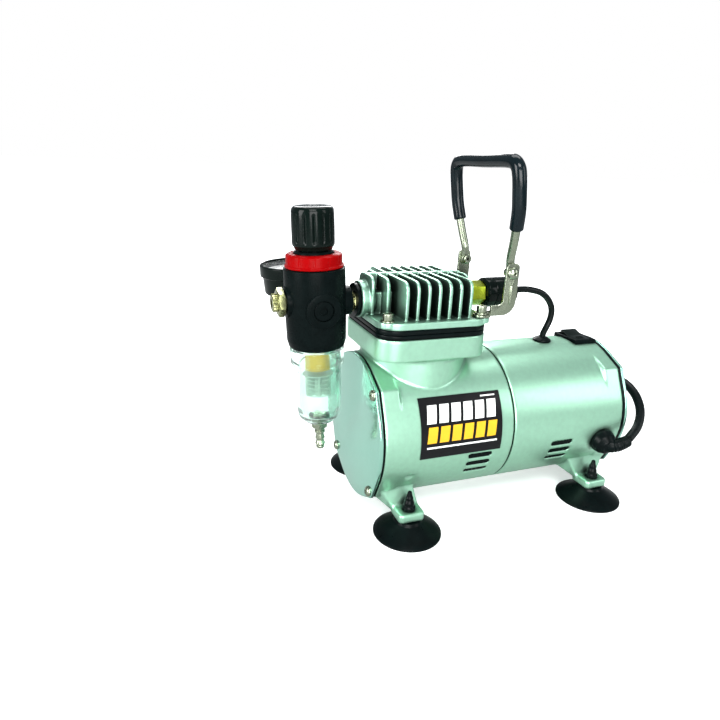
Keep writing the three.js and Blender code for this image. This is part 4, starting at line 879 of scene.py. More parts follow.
def bracket(side):
    foot_z = HEAD_PLATE_TOP + 0.3
    bolt_x = HEAD_X + BOLT_DX
    left, right = PIVOT_X - EAR_HALF, PIVOT_X + EAR_HALF
    corner, top, inside, height = 9, 3, 3, 6.5
    outline = [(bolt_x + 6, foot_z)]
    outline += arc(right - corner, foot_z + corner, corner, -90, 0, 10)
    outline += arc(right - top, PIVOT_Z + 3, top, 0, 90, 6)
    outline += arc(left + top, PIVOT_Z + 3, top, 90, 180, 6)
    outline += arc(left - inside, foot_z + height + inside, inside, 0, -90, 6)
    outline.append((bolt_x + 6, foot_z + height))
    plate = extrude(outline, EAR_Y - STRAP_T, EAR_Y, 0.3, "Y")
    lobe_at = (bolt_x + 0.25, BOLT_DY, 0)
    lobe = extrude(rounded_rectangle(5.25, 5, 4, 6), foot_z, foot_z + STRAP_T, 0.3, at=lobe_at)
    web = block(bolt_x + 3, right - corner + 2, EAR_Y - 8, EAR_Y - 0.3, foot_z, foot_z + STRAP_T, 0.3)
    rib_line = [(left + 4.7, EAR_Y, foot_z + 8), (left + 4.7, EAR_Y + 0.1, PIVOT_Z - 8)]
    solid = join(plate, lobe, web, sweep(rib_line, 1.1, 16, end_round=0.9))
    solid = cut(solid, rod(2.3, foot_z - 1, foot_z + 3, 24, 0, at=(bolt_x, BOLT_DY, 0)))
    if side < 0:
        solid = mirrored(solid)
    face = "front" if side < 0 else "back"
    piece(f"bracket_{face}", softened(solid, 0.22), ZINC, f"handle_bracket_{face}")


def rivet(side):
    profile = [(0.7, 2.1), (1.1, 2.4), (2.4, 2.1), (3.3, 1.3), (3.8, 0.4), (3.7, 0.05), (1.5, 0),
               (1.5, -5.2)]
    profile += [(2.9, -5.4), (2.9, -6.5), (2.4, -6.8), (0.9, -6.6), (0.7, -5)]
    solid = revolve(profile, 48, ring=True)
    solid.transform(Matrix.Rotation(-side * math.pi / 2, 4, "X"))
    solid.transform(Matrix.Translation((PIVOT_X, side * (EAR_Y + 0.3), PIVOT_Z)))
    face = "front" if side < 0 else "back"
    piece(f"eyelet_{face}", solid, ZINC, f"handle_rivet_{face}")


# ---------------------------------------------------------------- filter and regulator
def at_regulator(bm):
    return moved(bm, Matrix.Translation((REG_X, 0, 0)))


def regulator_piece(name, solid, surface, nodes=(), body="compressor", crease=32):
    """A piece on the regulator's own axis, which leans with it."""
    return piece(name, at_regulator(solid), surface, nodes, body, True, crease)


def hexagon(across, low, high, along="X", at=(0, 0, 0), spin=0.0, bore=0.0):
    """A nut whose corners are turned off on a cone at both ends."""
    nut = extrude(regular(6, across / math.sqrt(3), spin), low, high, 0)
    r = across / 2
    cone = [(0, low), (r * 0.98, low), (r * 1.17, low + 0.8), (r * 1.17, high - 0.8), (r * 0.98, high),
            (0, high)]
    nut = boolean(nut, "INTERSECT", revolve(cone, 64))
    if bore:
        nut = cut(nut, rod(bore, low - 1, high + 1, 32, 0))
    return finish_solid(softened(nut, 0.15), along, at)


def regulator():
    nipple = join(rod_x(5, REG_X + REG_R - 5, 6, 40, 0.3, PORT_Z),
                  hexagon(11, -4.2, -1.3, "X", (0, 0, PORT_Z), 0.3))
    piece("inlet_nipple", nipple, BRASS, "regulator_nipple")
    washer = [(5.2, -3.5), (10.3, -3.5), (10.5, -3.2), (10.5, -1.7), (10.3, -1.4), (5.2, -1.4)]
    piece("port_washer", revolve(washer, 64, "X", (0, 0, PORT_Z + 1), True), RUBBER)

    profile = [(0, REG_Z0), (14.2, REG_Z0, 0.5), (17.2, REG_Z0 + 1.2, 1.5),
               (REG_R - 0.3, REG_Z0 + 5.5, 2)]
    profile += [(REG_R, REG_Z0 + 20, 0), (REG_R, REG_Z1 - 0.3, 0.5), (REG_R - 1, REG_Z1, 0.3),
                (0, REG_Z1)]
    body = join(
        at_regulator(turned(profile, 128)),
        rod_x(9, REG_X, REG_X + REG_R + 3, 64, 0.5, PORT_Z),
        rod_x(9.5, OUTLET_X + 0.2, REG_X, 64, 0.5, OUTLET_Z),
        rod_y(8, 0, REG_R + 1.4, 64, 0.5, REG_X, PORT_Z),
        rod_y(10.4, -REG_R - 0.35, 0, 64, 0.5, REG_X, PORT_Z - 1),
    )
    body = cut(
        body,
        rod_x(6.4, REG_X, REG_X + 30, 32, 0, PORT_Z),
        rod_x(5.3, REG_X - 30, REG_X, 32, 0, OUTLET_Z),
        rod_y(5.3, 0, REG_R + 5, 32, 0, REG_X, PORT_Z),
        rod_y(6.2, -REG_R - 2, -REG_R + 1.6, 48, 0, REG_X, PORT_Z - 1),
        at_regulator(rod(13.3, REG_Z0 - 1, REG_Z0 + 9, 64, 0)),
        at_regulator(rod(12, REG_Z1 - 12, REG_Z1 + 1, 64, 0)),
    )
    piece("filter_regulator_body", softened(body, 0.3, 3), SATIN_BLACK, "regulator_body", lean=True)
    plug_profile = [(0, 0), (5.8, 0, 0), (5.8, 1.3, 0.4), (0, 1.3)]
    port_plug = cut(turned(plug_profile, 48), extrude(regular(6, 2.6, 0.4), 0.2, 3, 0))
    spot = Matrix.Translation((REG_X, -REG_R + 1.5, PORT_Z - 1))
    piece("port_plug", moved(port_plug, spot @ Matrix.Rotation(math.pi / 2, 4, "X")), SATIN_BLACK,
          lean=True)
    panel_nut()
    z0 = REG_Z1 + 0.3
    collar = [(8.8, z0 - 8), (12, z0 - 8), (12, z0 + 8.6, 0.5), (11.2, KNOB_Z0 - 0.6, 0.4),
              (8.8, KNOB_Z0 - 0.6)]
    neck = raised(KNOB_Z0, [(3.3, -4), (8.5, -4), (8.5, 11.6, 0.5), (3.3, 11.6)])
    bonnet = merged(turned(collar, 72, ring=True), turned(neck, 72, ring=True))
    regulator_piece("bonnet", bonnet, SATIN_BLACK, "spring_bonnet")
    regulator_knob()
    outlet()
    bowl()
    gauge()


def panel_nut():
    z0 = REG_Z1 + 0.3
    outline = [(12.3, 0), (RING_R - 0.2, 0, 0.5), (RING_R, 1.2, 0.4), (RING_R - 0.9, 1.7, 0.3)]
    outline += [(RING_R - 0.9, 7.2, 0.9), (RING_R - 2.6, 8.2, 0.5), (12.3, 8.2, 0.4)]
    ring = turned(raised(z0, outline), 96, ring=True)
    notches = []
    for k in range(RING_NOTCHES):
        spin = Matrix.Rotation(2 * math.pi * (k + 0.5) / RING_NOTCHES, 4, "Z")
        notches.append(moved(rod(1.9, z0 + 2.2, z0 + 10, 24, 0.4, at=(RING_R + 0.75, 0, 0)), spin))
    regulator_piece("panel_nut", softened(cut(ring, *notches), 0.25), RED, "panel_ring")


def regulator_knob():
    """A glossy fluted knob: a plain band on top, flutes below it and a small step at the foot."""
    sides = KNOB_FLUTES * 12
    height = KNOB_Z1 - KNOB_Z0
    # (share of the height, share of the radius, depth of the flutes)
    levels = [(0.0, 0.86, 0), (0.015, 0.895, 0), (0.045, 0.905, 0), (0.07, 0.93, 0), (0.10, 0.985, 0),
              (0.13, 1.0, 0)]
    levels += [(0.17, 1.0, 0.25), (0.20, 1.0, 0.8), (0.24, 1.0, 1), (0.5, 0.996, 1), (0.74, 0.99, 1)]
    levels += [(0.79, 0.988, 0.8), (0.82, 0.987, 0.3), (0.85, 0.985, 0), (0.90, 0.98, 0),
               (0.94, 0.955, 0)]
    levels += [(0.97, 0.91, 0), (0.99, 0.84, 0), (0.998, 0.74, 0), (1.0, 0.6, 0), (0.992, 0.45, 0),
               (0.985, 0.3, 0)]
    levels.append((0.985, 0.001, 0))
    rings = []
    for share, width, flute in levels:
        ring = []
        for i in range(sides):
            angle = 2 * math.pi * i / sides
            dip = max(0.0, math.cos(angle * KNOB_FLUTES)) ** 6
            r = KNOB_R * width - 0.85 * flute * dip
            ring.append((r * math.cos(angle), r * math.sin(angle), KNOB_Z0 + share * height))
        rings.append(ring)
    knob = cut(finish_solid(loft(rings)), rod(8.8, KNOB_Z0 - 1, KNOB_Z0 + 12.3, 48, 0))
    regulator_piece("knob", knob, GLOSS_BLACK, "regulator_knob", "knob", 50)


def outlet():
    here = (0, 0, OUTLET_Z)
    nut = hexagon(15.4, OUTLET_X - 4.4, OUTLET_X - 0.3, "X", here, 0.26, 4.6)
    teeth = []
    for i in range(KNURL_POINTS):
        r, angle = 5.4 - 0.35 * (i % 2), 2 * math.pi * i / KNURL_POINTS
        teeth.append((r * math.cos(angle), r * math.sin(angle)))
    knurl = extrude(teeth, OUTLET_X - 7.4, OUTLET_X - 4.5, 0.25, "X", here)
    knurl = cut(knurl, rod_x(4.6, OUTLET_X - 9, OUTLET_X, 40, 0, OUTLET_Z))
    end_profile = raised(OUTLET_X, [(2.7, -7.7), (4.6, -7.7), (5.1, -7.3), (5.1, 5), (2.7, 5)])
    end = revolve(end_profile, 48, "X", here, True)
    piece("outlet_union", merged(nut, knurl, end), BRASS, "outlet_fitting", lean=True)


def bowl():
    z0, top = BOWL_BOTTOM_Z, REG_Z0 - 0.3
    outer = raised(z0, [(2.7, 0), (5.5, 0, 0.4), (9.2, 1.0, 3), (13.2, 5, 4), (14.3, 13, 6)])
    outer += [(BOWL_R, top - 10.4, 0.6), (BOWL_COLLAR_R - 0.3, top - 9.6, 0.6),
              (BOWL_COLLAR_R, top - 0.2, 0.3)]
    outer += [(BOWL_COLLAR_R - 0.4, top, 0.2), (13, top, 0.2)]
    inner = raised(top, [(13, 6.8), (11.3, 6.8), (11.3, -7)])
    inner += raised(z0, [(12.2, 12, 4), (10.6, 6, 3), (6, 2.6, 1), (2.7, 2.6)])
    regulator_piece("bowl", turned(outer + inner, 96, ring=True), CLEAR, "filter_bowl")

    felt = turned([(3.2, 100.5), (7.6, 100.5, 0.6), (7.6, 112, 0.3), (3.2, 112)], 72, ring=True)
    regulator_piece("filter_felt", merged(felt, rod(3, 99, 113, 32, 0.3)), BRONZE, "filter_element")
    disc = raised(97.6, [(2.6, -0.5), (9.4, -0.5, 0.2), (9.8, 0.3, 0.2), (2.6, 0.3)])
    rings = [turned(disc, 72, ring=True)]
    for k in range(5):
        z = 94.6 - 2.7 * k
        rings.append(revolve(raised(z, [(7.6, -0.35), (8.2, -0.2), (8.2, 0.2), (7.6, 0.35)]), 72,
                             ring=True))
    rings.append(rod(2.5, 82, 98, 32, 0.4))
    for k in range(3):
        spoke = block(-8, 8, -0.4, 0.4, 83, 97.4, 0.1)
        rings.append(moved(spoke, Matrix.Rotation(math.pi * k / 3 + 0.3, 4, "Z")))
    regulator_piece("baffle", merged(*rings), BAFFLE)
    drain()


def drain():
    z = BOWL_BOTTOM_Z - 0.3
    nut = [
        hexagon(9.7, z - 4, z, "Z", (0, 0, 0), 0.2, 1.4),
        hexagon(9.2, BOWL_BOTTOM_Z + 2.9, BOWL_BOTTOM_Z + 6.0, "Z", (0, 0, 0), 0.5, 2.9),
        revolve(raised(z, [(1.4, -1), (2.3, -1), (2.3, 6.6), (1.4, 6.6)]), 32, ring=True),
        revolve(raised(z, [(2.4, 2.95), (6.4, 2.95), (6.4, 3.15), (2.4, 3.15)]), 48, ring=True),
    ]
    regulator_piece("drain_gland", merged(*nut), ZINC, "drain_nut")
    washer_z = BOWL_BOTTOM_Z + 2.7
    washer = raised(washer_z, [(2.4, 0), (7.2, 0, 0.3), (7.2, 0.9, 0.3), (2.4, 0.9)])
    regulator_piece("drain_washer", turned(washer, 64, ring=True), RUBBER)
    tip = [(1.0, 0), (2.2, 0, 0.2), (2.7, 0.6, 0.2), (2.7, 1.6, 0.2), (2.1, 2.2, 0.2), (2.1, 2.8, 0.2)]
    tip += [(3.4, 3.2, 0.3), (2.5, 5.8, 0.3), (2.2, 6.0, 0.2), (2.2, 6.8, 0.2), (3.2, 7.2, 0.3)]
    root = [(2.5, -8.9, 0.3), (2.4, -8.3, 0.2), (3.4, -7.9, 0.3), (3.4, -6.6, 0.4), (2.6, -6.0, 0.2)]
    root += [(2.6, -5.4, 0.2), (3.2, -5.0, 0.2), (3.2, -4.4, 0.2), (1.0, -4.4)]
    cock = turned(raised(DRAIN_TIP_Z, tip) + raised(z, root), 48, ring=True)
    regulator_piece("drain_cock", cock, ZINC, "drain_valve", "drain")


def gauge():
    top, low = GAUGE_Z1, GAUGE_Z0
    dial_z = top - 5
    spot = Matrix.Translation((GAUGE_X, GAUGE_Y, 0))
    rim = [(0, low), (GAUGE_R - 7, low, 1), (GAUGE_R - 2.6, low + 2.6, 2),
           (GAUGE_R - 1.7, top - 8.6, 0.4)]
    rim += [(GAUGE_R - 0.1, top - 7.7, 0.5), (GAUGE_R, top - 0.8, 0.5), (GAUGE_R - 0.9, top, 0.4)]
    rim += [(GAUGE_R - 1.6, top - 0.6, 0.2), (GAUGE_R - 1.6, dial_z - 1.2), (0, dial_z - 1.2)]
    case = join(
        moved(turned(rim, 128), spot),
        rod_y(5, REG_R - 4, GAUGE_Y - GAUGE_R + 6, 40, 0, REG_X, PORT_Z),
        block(REG_X - 5.5, REG_X + 5.5, REG_R + 1.7, GAUGE_Y - GAUGE_R + 5, PORT_Z - 5.5, PORT_Z + 5.5,
              0.4),
    )
    piece("gauge_body", case, GLOSS_BLACK, "gauge_case", lean=True)
    face = moved(rod(GAUGE_R - 1.9, dial_z - 0.9, dial_z, 96, 0.1), spot)
    piece("gauge_face", face, DIAL, "gauge_dial", lean=True)
    marks = []
    for k in range(DIAL_TICKS + 1):
        angle = math.radians(DIAL_START - DIAL_SWEEP * k / DIAL_TICKS)
        long = 4.2 if k % 10 == 0 else 3.0 if k % 5 == 0 else 1.8
        wide = 0.34 if k % 10 == 0 else 0.18
        tick = block(18.6 - long, 18.6, -wide, wide, dial_z + 0.02, dial_z + 0.07)
        marks.append(moved(tick, spot @ Matrix.Rotation(angle, 4, "Z")))
    band = raised(dial_z, [(18.9, 0.02), (19.3, 0.02), (19.3, 0.07), (18.9, 0.07)])
    marks.append(moved(revolve(band, 96, ring=True), spot))
    piece("gauge_marks", merged(*marks), DARK_PRINT, lean=True)
    numerals(spot, dial_z)
    hand = [(-6, -1.3), (0, -0.9), (16.8, -0.25), (16.8, 0.25), (0, 0.9), (-6, 1.3)]
    pointer = merged(extrude(hand, dial_z + 0.5, dial_z + 0.9, 0.05),
                     rod(2.1, dial_z + 0.35, dial_z + 1.5, 40, 0.3))
    needle = moved(pointer, spot @ Matrix.Rotation(math.radians(DIAL_START), 4, "Z"))
    piece("gauge_pointer", needle, DARK_PRINT, "gauge_needle", "needle", lean=True)
    glass = [(0, -1.5), (GAUGE_R - 1.75, -1.5), (GAUGE_R - 1.75, -0.9), (GAUGE_R - 8, -0.55), (0, -0.4)]
    piece("gauge_lens", moved(revolve(raised(top, glass), 96), spot), LENS, lean=True)


def numerals(spot, dial_z):
    """The numbers round the dial."""
    for k in range(5):
        curve = bpy.data.curves.new(f"numeral_{k}", "FONT")
        curve.body = str(k * 2)
        curve.size = 4.4
        curve.extrude = 0.02
        curve.align_x = curve.align_y = "CENTER"
        text = bpy.data.objects.new(f"numeral_{k}", curve)
        bpy.context.scene.collection.objects.link(text)
        bpy.context.view_layer.update()
        graph = bpy.context.evaluated_depsgraph_get()
        solid = bmesh.new()
        solid.from_mesh(text.evaluated_get(graph).to_mesh())
        bpy.data.objects.remove(text)
        angle = math.radians(DIAL_START - DIAL_SWEEP * k / 4)
        place = (NUMERAL_R * math.cos(angle), NUMERAL_R * math.sin(angle), dial_z + 0.05)
        solid.transform(spot @ Matrix.Translation(place))
        piece(f"dial_number_{k}", solid, DARK_PRINT, lean=True)


# ---------------------------------------------------------------- pressure switch and its lead
def pressure_switch():
    here = (0, 0, SWITCH_Z)
    nut = hexagon(14.4, HEAD_RIGHT_X + 0.3, SWITCH_X0 - 0.4, "X", here, 0.35)
    stem = rod_x(5, HEAD_RIGHT_X - 5, SWITCH_X0 - 0.4, 40, 0.2, SWITCH_Z)
    piece("switch_base", join(nut, stem), OLIVE, "pressure_switch_nut")
    profile = raised(SWITCH_X0, [
        (0, 0), (SWITCH_R - 1.2, 0, 0.5), (SWITCH_R, 1.4, 0.6), (SWITCH_R, 6, 0.2),
        (SWITCH_R - 0.45, 6.3, 0.1), (SWITCH_R - 0.45, 7, 0.1), (SWITCH_R, 7.3, 0.2),
    ])
    profile += raised(SWITCH_X1, [(SWITCH_R, -2, 1.6), (SWITCH_R - 2.5, 0, 0.6), (3.4, 0, 0.3), (0, 0)])
    piece("switch_can", turned(profile, 96, "X", here), GLOSS_BLACK, "pressure_switch")
    grommet_top = AXIS_Z + BODY_R + 2
    from_switch = [(0.3, 0, 0.6), (7, -0.3, 1.1), (14, -0.6, 0.7), (24.8, -1, -2.2)]
    from_switch += [(31.7, -1.3, -8), (34.9, -1.4, -14.5), (34.8, -1.3, -21.5)]
    lead = [(SWITCH_X1 + x, y, SWITCH_Z + z) for x, y, z in from_switch]
    to_grommet = [(1.8, -0.9, 8), (0.5, -0.3, 3.6), (0, 0, -0.6)]
    lead += [(GROMMET_X + x, y, grommet_top + z) for x, y, z in to_grommet]
    piece("sensor_lead", sweep(catmull(lead, 10), 2.2, 28), CORD_SKIN, "switch_lead", crease=60)
    cone = [(0, -8), (4, -8), (4, -1.8), (6.4, -1.8, 0.2), (6.3, -1.0, 0.4)]
    cone += [(3.6, 0.7, 0.6), (2.5, 0.9, 0.2), (0, 0.9)]
    grommet = turned(raised(grommet_top, cone), 64, at=(GROMMET_X, 0, 0))
    piece("grommet", grommet, RUBBER, "lead_grommet")


# ---------------------------------------------------------------- rocker switch
def rocker_switch():
    frame_solid = join(rocker_box(0, ROCKER_Z - 3.4, ROCKER_Z, 0.7),
                       rocker_box(1.3, ROCKER_Z - 13, ROCKER_Z - 1))
    frame_solid = cut(frame_solid, rocker_box(2.2, ROCKER_Z - 7, ROCKER_Z + 1))
    piece("rocker_frame", softened(frame_solid, 0.3), SATIN_BLACK, "rocker_bezel")
    reach = ROCKER_HALF_Y - 3.2
    side = [(-reach, -1, 0.4), (-2, -4, 0.5), (2, -4, 0.5), (reach, -1, 0.4)]
    side += [(reach, 2.7, 0.5), (0, 1.5, 6), (-reach, 2.7, 0.5)]
    half = ROCKER_HALF_X - 2.6
    ribs = [block(-2.6, 2.6, y - 0.25, y + 0.25, 1.2, 2.75, 0.1) for y in (-6.4, -5.2, -4.0)]
    key = merged(extrude(fillet(side, 0), -half, half, 0.45, "X"), *ribs)
    spot = Matrix.Translation((ROCKER_X, ROCKER_Y, ROCKER_Z - 1.4))
    key.transform(spot @ Matrix.Rotation(math.radians(ROCKER_TILT), 4, "X"))
    piece("rocker_key", key, GLOSS_BLACK, "rocker_button", "rocker")


# ---------------------------------------------------------------- suction cups
def suction_cups():
    outer = [(CUP_R, 0, 0), (CUP_R, 1.0, 0.5), (19.6, 2.6, 4), (13, 6.4, 5), (9.4, 8.6, 1.5)]
    outer += [(8.2, PAD_Z0 - 0.3, 0.5), (3.2, PAD_Z0 - 0.3, 0.2)]
    peg = [(3.2, 0.3, 0.2), (4.4, 0.3, 0.3), (4.3, 2.2, 0.4), (3.5, 3.0, 0.3), (3.3, 5.2, 0.6)]
    peg += [(2.5, 7.0, 0.5), (2.5, 8.4, 0.3), (1.9, 9.6, 0.4), (1.3, 12.4, 0.5), (0, 13.4, 0)]
    outer += [(r, PAD_Z1 + z, corner) for r, z, corner in peg]
    underside = [(0, 2.0), (12, 1.5), (CUP_R - 2.4, 0.0)]
    for end, x in zip(("left", "right"), FOOT_X):
        for side, face in ((-1, "front"), (1, "back")):
            cup = revolve(underside + fillet(outer, 0, closed=False), 96, at=(x, side * FOOT_Y, 0))
            piece(f"cup_{end}_{face}", cup, RUBBER, f"suction_cup_{end}_{face}", crease=50)


def vent_shade_sheets():
    """Painted shadow: a dark sheet inside the castings' walls, behind the cooling slots of both sides, that
    darkens what is seen through the slots.
    """
    depth = BODY_R - 0.6
    for name, x0, x1 in (("crankcase", *CRANKCASE_VENTS), ("motor", *MOTOR_VENTS)):
        near = wrapped_patch(x0 - 1, x1 + 3, *VENT_ARC, depth - 0.4, depth)
        piece(f"{name}_vent_shade_sheet", merged(near, mirrored(near.copy())), SATIN_BLACK, crease=20)


# ---------------------------------------------------------------- label
def wrapped_patch(x0, x1, low, high, r0, r1, slant=0.0, steps=14):
    """A thin curved sheet on the -Y side of the castings, between two angles above the horizontal."""
    rows = []
    bm = bmesh.new()
    for r in (r0, r1):
        ring = []
        for x, order in ((x0, range(steps + 1)), (x1, reversed(range(steps + 1)))):
            for i in order:
                angle = math.radians(low + (high - low) * i / steps)
                ring.append((x + slant * i / steps, -r * math.cos(angle), AXIS_Z + r * math.sin(angle)))
        rows.append([bm.verts.new(p) for p in ring])
    count = len(rows[0])
    for i in range(count):
        j = (i + 1) % count
        bm.faces.new((rows[0][i], rows[0][j], rows[1][j], rows[1][i]))
    for row in rows:
        for i in range(steps):
            bm.faces.new((row[i], row[i + 1], row[count - 2 - i], row[count - 1 - i]))
    return finish_solid(bm)


def label():
    """A plain black rating label with an abstract pattern of bars, and no lettering."""
    x0, x1, low, high = 26.9, 84.3, -7.7, 38.5
    base = BODY_R + 0.05
    sheet = wrapped_patch(x0, x1, low, high, base, base + 0.22, steps=24)
    piece("label_sheet", sheet, LABEL_BLACK, crease=20)

    def printed(left, right, bottom, top, slant=0.0):
        return wrapped_patch(left, right, bottom, top, base + 0.24, base + 0.24 + 0.05, slant)

    def blocks(bottom, top, slant):
        return [printed(x0 + 4 + k * 8.4, x0 + 10.4 + k * 8.4, bottom, top, slant) for k in range(6)]

    lines = [printed(x0 + 4, x1 - 3.6, 0.2, 1.6), printed(x1 - 14, x1 - 3.6, 35, 36)]
    piece("label_bars", merged(*blocks(19, 32.5, 1.4), *lines), LABEL_WHITE, crease=20)
    piece("label_band", merged(*blocks(4.5, 16.5, 1.2)), LABEL_YELLOW, crease=20)


# ---------------------------------------------------------------- mains lead
CORD_ROUTE = [
    (183.7, -56.8, 49.5),
    (192.8, -53.8, 56),
    (199.3, -48.1, 63.9),
    (202.6, -39.8, 71.3),
    (203.5, -29.5, 76.5),
    (203, -18, 78.2),
    (202, -6.5, 76.2),
    (201.1, 4, 71.3),
    (200.3, 13.6, 64.6),
    (199.7, 22.3, 56.8),
    (199.2, 30.3, 48.4),
    (198.7, 38.1, 39.6),
    (198.3, 45.9, 30.9),
    (197.9, 54.1, 22.6),
    (197.3, 63.2, 15.3),
    (196.3, 73.3, 9.5),
    (194.4, 84.2, 5.8),
    (190.7, 95.1, 3.9),
]
FLOOR_CORD_Z = CORD_R + 0.1
TURN_PITCH = 2 * CORD_R + 0.07
OUTER_TURN_R = COIL_R + 2 * CORD_R
BEND_R, BEND_X = 51, 143
COIL_Z = CORD_R + 0.5
LAYER_RISE = 2 * CORD_R + 0.1


def smoothstep(t):
    t = min(1.0, max(0.0, t))
    return t * t * (3 - 2 * t)


# Where the lead changes its place in the coil, in degrees of winding: (start, end, steps inward, rise).
COIL_STEPS = [
    (0, 60, 0, COIL_Z - FLOOR_CORD_Z),
    (285, 370, 1, 0),
    (640, 730, 1, 0),
    (930, 1040, 0, LAYER_RISE),
    (1200, 1290, -1, 0),
    (1560, 1650, -1, 0),
    (1845, 1940, 0, LAYER_RISE),
    (1900, 1990, 0.5, -0.7),
    (2180, 2260, 1, 0.7),
]
WINDING = 2386
TAIL_R = 23.5


def coil_route():
    """Three turns inwards on the floor, three outwards on top, most of one more, then to the plug."""
    points = []
    for wound in range(0, WINDING, 15):
        r, z = COIL_R + TURN_PITCH, FLOOR_CORD_Z
        for start, end, inward, rise in COIL_STEPS:
            part = smoothstep((wound - start) / (end - start))
            r -= part * inward * TURN_PITCH
            z += part * rise
        at = math.radians(90 + wound)
        points.append((COIL_X + r * math.cos(at), COIL_Y + r * math.sin(at), z))
    for degrees in (-24, -8, 8, 24, 40, 56, 73, 90):
        at = math.radians(degrees)
        lift = 2.6 * smoothstep((degrees + 40) / 130)
        x, y = COIL_X + 7.2 + TAIL_R * math.cos(at), COIL_Y - 6 + TAIL_R * math.sin(at)
        points.append((x, y, z + lift))
    points.append((COIL_X + 4, COIL_Y + 17.2, 19.2))
    return points


def lead_route():
    points = list(CORD_ROUTE)
    outer_y = COIL_Y + OUTER_TURN_R
    for degrees in (34, 48, 62, 76, 90):
        angle = math.radians(degrees)
        points.append((BEND_X + BEND_R * math.cos(angle), outer_y - BEND_R + BEND_R * math.sin(angle),
                       FLOOR_CORD_Z))
    points.append((COIL_X + 24, outer_y, FLOOR_CORD_Z))
    points.append((COIL_X + 12, outer_y + 0.05, FLOOR_CORD_Z))
    return points + coil_route()


def mains_lead():
    line = catmull(lead_route(), 5)
    curve = bpy.data.curves.new("mains_lead", "CURVE")
    curve.dimensions = "3D"
    curve.bevel_depth = CORD_R * MM
    curve.bevel_resolution = 6
    curve.use_fill_caps = True
    spline = curve.splines.new("POLY")
    spline.points.add(len(line) - 1)
    for point, place in zip(spline.points, line):
        point.co = (*(PLACE @ place), 1)
    spline.use_smooth = True
    curve.materials.append(CORD_SKIN)
    lead = bpy.data.objects.new("mains_lead", curve)
    bpy.context.scene.collection.objects.link(lead)
    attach(lead, "compressor")
    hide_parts("power_cord", "cord_coil")
    parts = [plug(), coil_tie()]


def cord_boot():
    profile = [(0, -6), (4.2, -6), (4.2, 0.3), (8.9, 0.3, 0.3), (8.9, 2.2, 0.6), (8.0, 6.0, 3),
               (5.6, 9.6, 2.5), (0, 11)]
    boot = gland_frame(revolve(fillet(profile, 0, closed=False, steps=6), 96))
    bend = [(0, -50.5, 46), (0.8, -53.8, 45.4), (3.6, -56.6, 45.8), (8.6, -57.5, 46.8),
            (14.2, -57.45, 48.35)]
    route = catmull([(GLAND_X + x, y, z) for x, y, z in bend], 12)
    sleeve = sweep(route, lambda t: 5.7 - 1.7 * t - (0.5 if t > 0.45 and (t * 26) % 2 < 0.7 else 0), 40)
    piece("lead_boot", join(boot, sleeve), RUBBER, "cord_gland", crease=50)


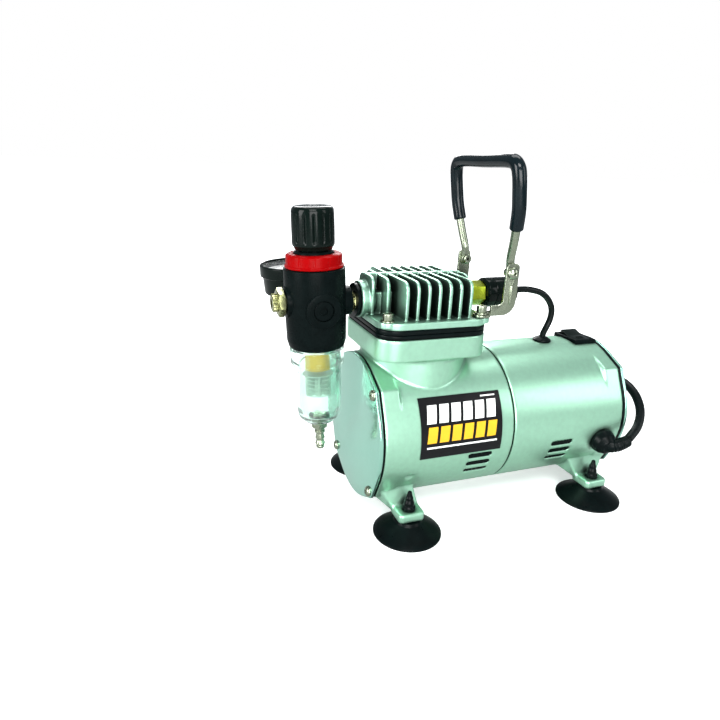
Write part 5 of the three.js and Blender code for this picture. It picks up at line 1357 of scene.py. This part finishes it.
def plug():
    x0, y0, z0 = PLUG_AT
    stations = [(0, 11.4, 9.9), (0.6, 12.0, 10.5), (2.2, 12.5, 11), (20, 12.5, 11), (25, 11.6, 10.2),
                (31, 9.0, 8.3)]
    stations += [(36, 7.2, 6.8), (38.5, 6.4, 6.2), (39, 5.9, 5.8), (40, 6.0, 5.9), (41, 5.6, 5.5)]
    rings = []
    for dx, half_y, half_z in stations:
        outline = rounded_rectangle(half_y, half_z, min(half_y, half_z) * 0.62, 8)
        rings.append([(x0 + dx, y0 + y, z0 + z) for y, z in outline])
    body = finish_solid(loft(rings))
    grips = []
    for k in range(4):
        grip = extrude(rounded_rectangle(12.9, 1.0, 0.9, 4), -7, 7, 0.5)
        spot = Matrix.Translation((x0 + 8 + 4.2 * k, y0, z0))
        grips.append(moved(grip, spot @ Matrix.Rotation(math.pi / 2, 4, "Z")))
    drop = [(39, 0, -0.3), (45, -0.1, -1.2), (51, -0.4, -2.8), (58, -1.2, -4.8)]
    route = catmull([(x0 + x, y0 + y, z0 + z) for x, y, z in drop], 12)
    sleeve = sweep(route, lambda t: 5.5 - 1.6 * t - (0.5 if t < 0.85 and (t * 18) % 2 < 0.8 else 0), 36)
    made = piece("plug_body", join(body, *grips, sleeve), RUBBER, "cord_plug", crease=45)
    blades = []
    for side in (-1, 1):
        y = y0 + side * 6.3
        blades.append(block(x0 - 17, x0 + 2, y - 0.8, y + 0.8, z0 + 0.5, z0 + 6.8, 0.3))
    pin = rod(2.4, x0 - 20, x0 + 2, 40, 1.2, "X", (0, y0, z0 - 6.5))
    contacts = piece("plug_pins", merged(*blades, pin), ZINC)
    contacts.parent = made
    contacts.matrix_parent_inverse = made.matrix_world.inverted()
    return made


def coil_tie():
    """A flat tie round the turns of the coil."""
    outer = rounded_rectangle(10.3, 6.55, 2.6, 8)
    inner = rounded_rectangle(9.95, 6.25, 2.4, 8)
    band = cut(extrude(outer, -2.2, 2.2, 0), extrude(inner, -3, 3, 0))
    strands = []
    for k in (0, 1):
        line = []
        for i in range(14):
            t = 0.4 * i
            swing = t + k * math.pi
            line.append((10 + t * 0.8, 5 + 1.5 * t + 0.6 * math.sin(swing), 0.6 * math.cos(swing)))
        strands.append(sweep(line, 0.5, 12))
    solid = merged(band, *strands)
    angle = math.radians(TIE_ANGLE)
    x, y = COIL_X + COIL_R * math.cos(angle), COIL_Y + COIL_R * math.sin(angle)
    spot = Matrix.Translation((x, y, 6.65))
    solid.transform(spot @ Matrix.Rotation(angle, 4, "Z") @ Matrix.Rotation(math.pi / 2, 4, "X"))
    return piece("coil_tie", solid, SATIN_BLACK)


# ---------------------------------------------------------------- pieces that keep their CAD shapes
def inner_finishes():
    cad_finish(MACHINED, "cylinder_liner", "valve_plate", "crank_disc", "connecting_rod",
               "front_bearing", "rear_bearing")
    cad_finish(ZINC, "motor_shaft", "adjusting_screw")
    cad_finish(LAMINATED, "motor_stator", "motor_rotor")
    cad_finish(SATIN_BLACK, "cooling_fan")


def build():
    point_camera()
    light_studio()
    mains_lead()
    cord_boot()
    crankcase()
    motor_casting()
    end_covers()
    cover_screws()
    cylinder_head()
    head_stack()
    handle()
    for side in (-1, 1):
        bracket(side)
        rivet(side)
    regulator()
    pressure_switch()
    rocker_switch()
    suction_cups()
    vent_shade_sheets()
    label()
    inner_finishes()


build()
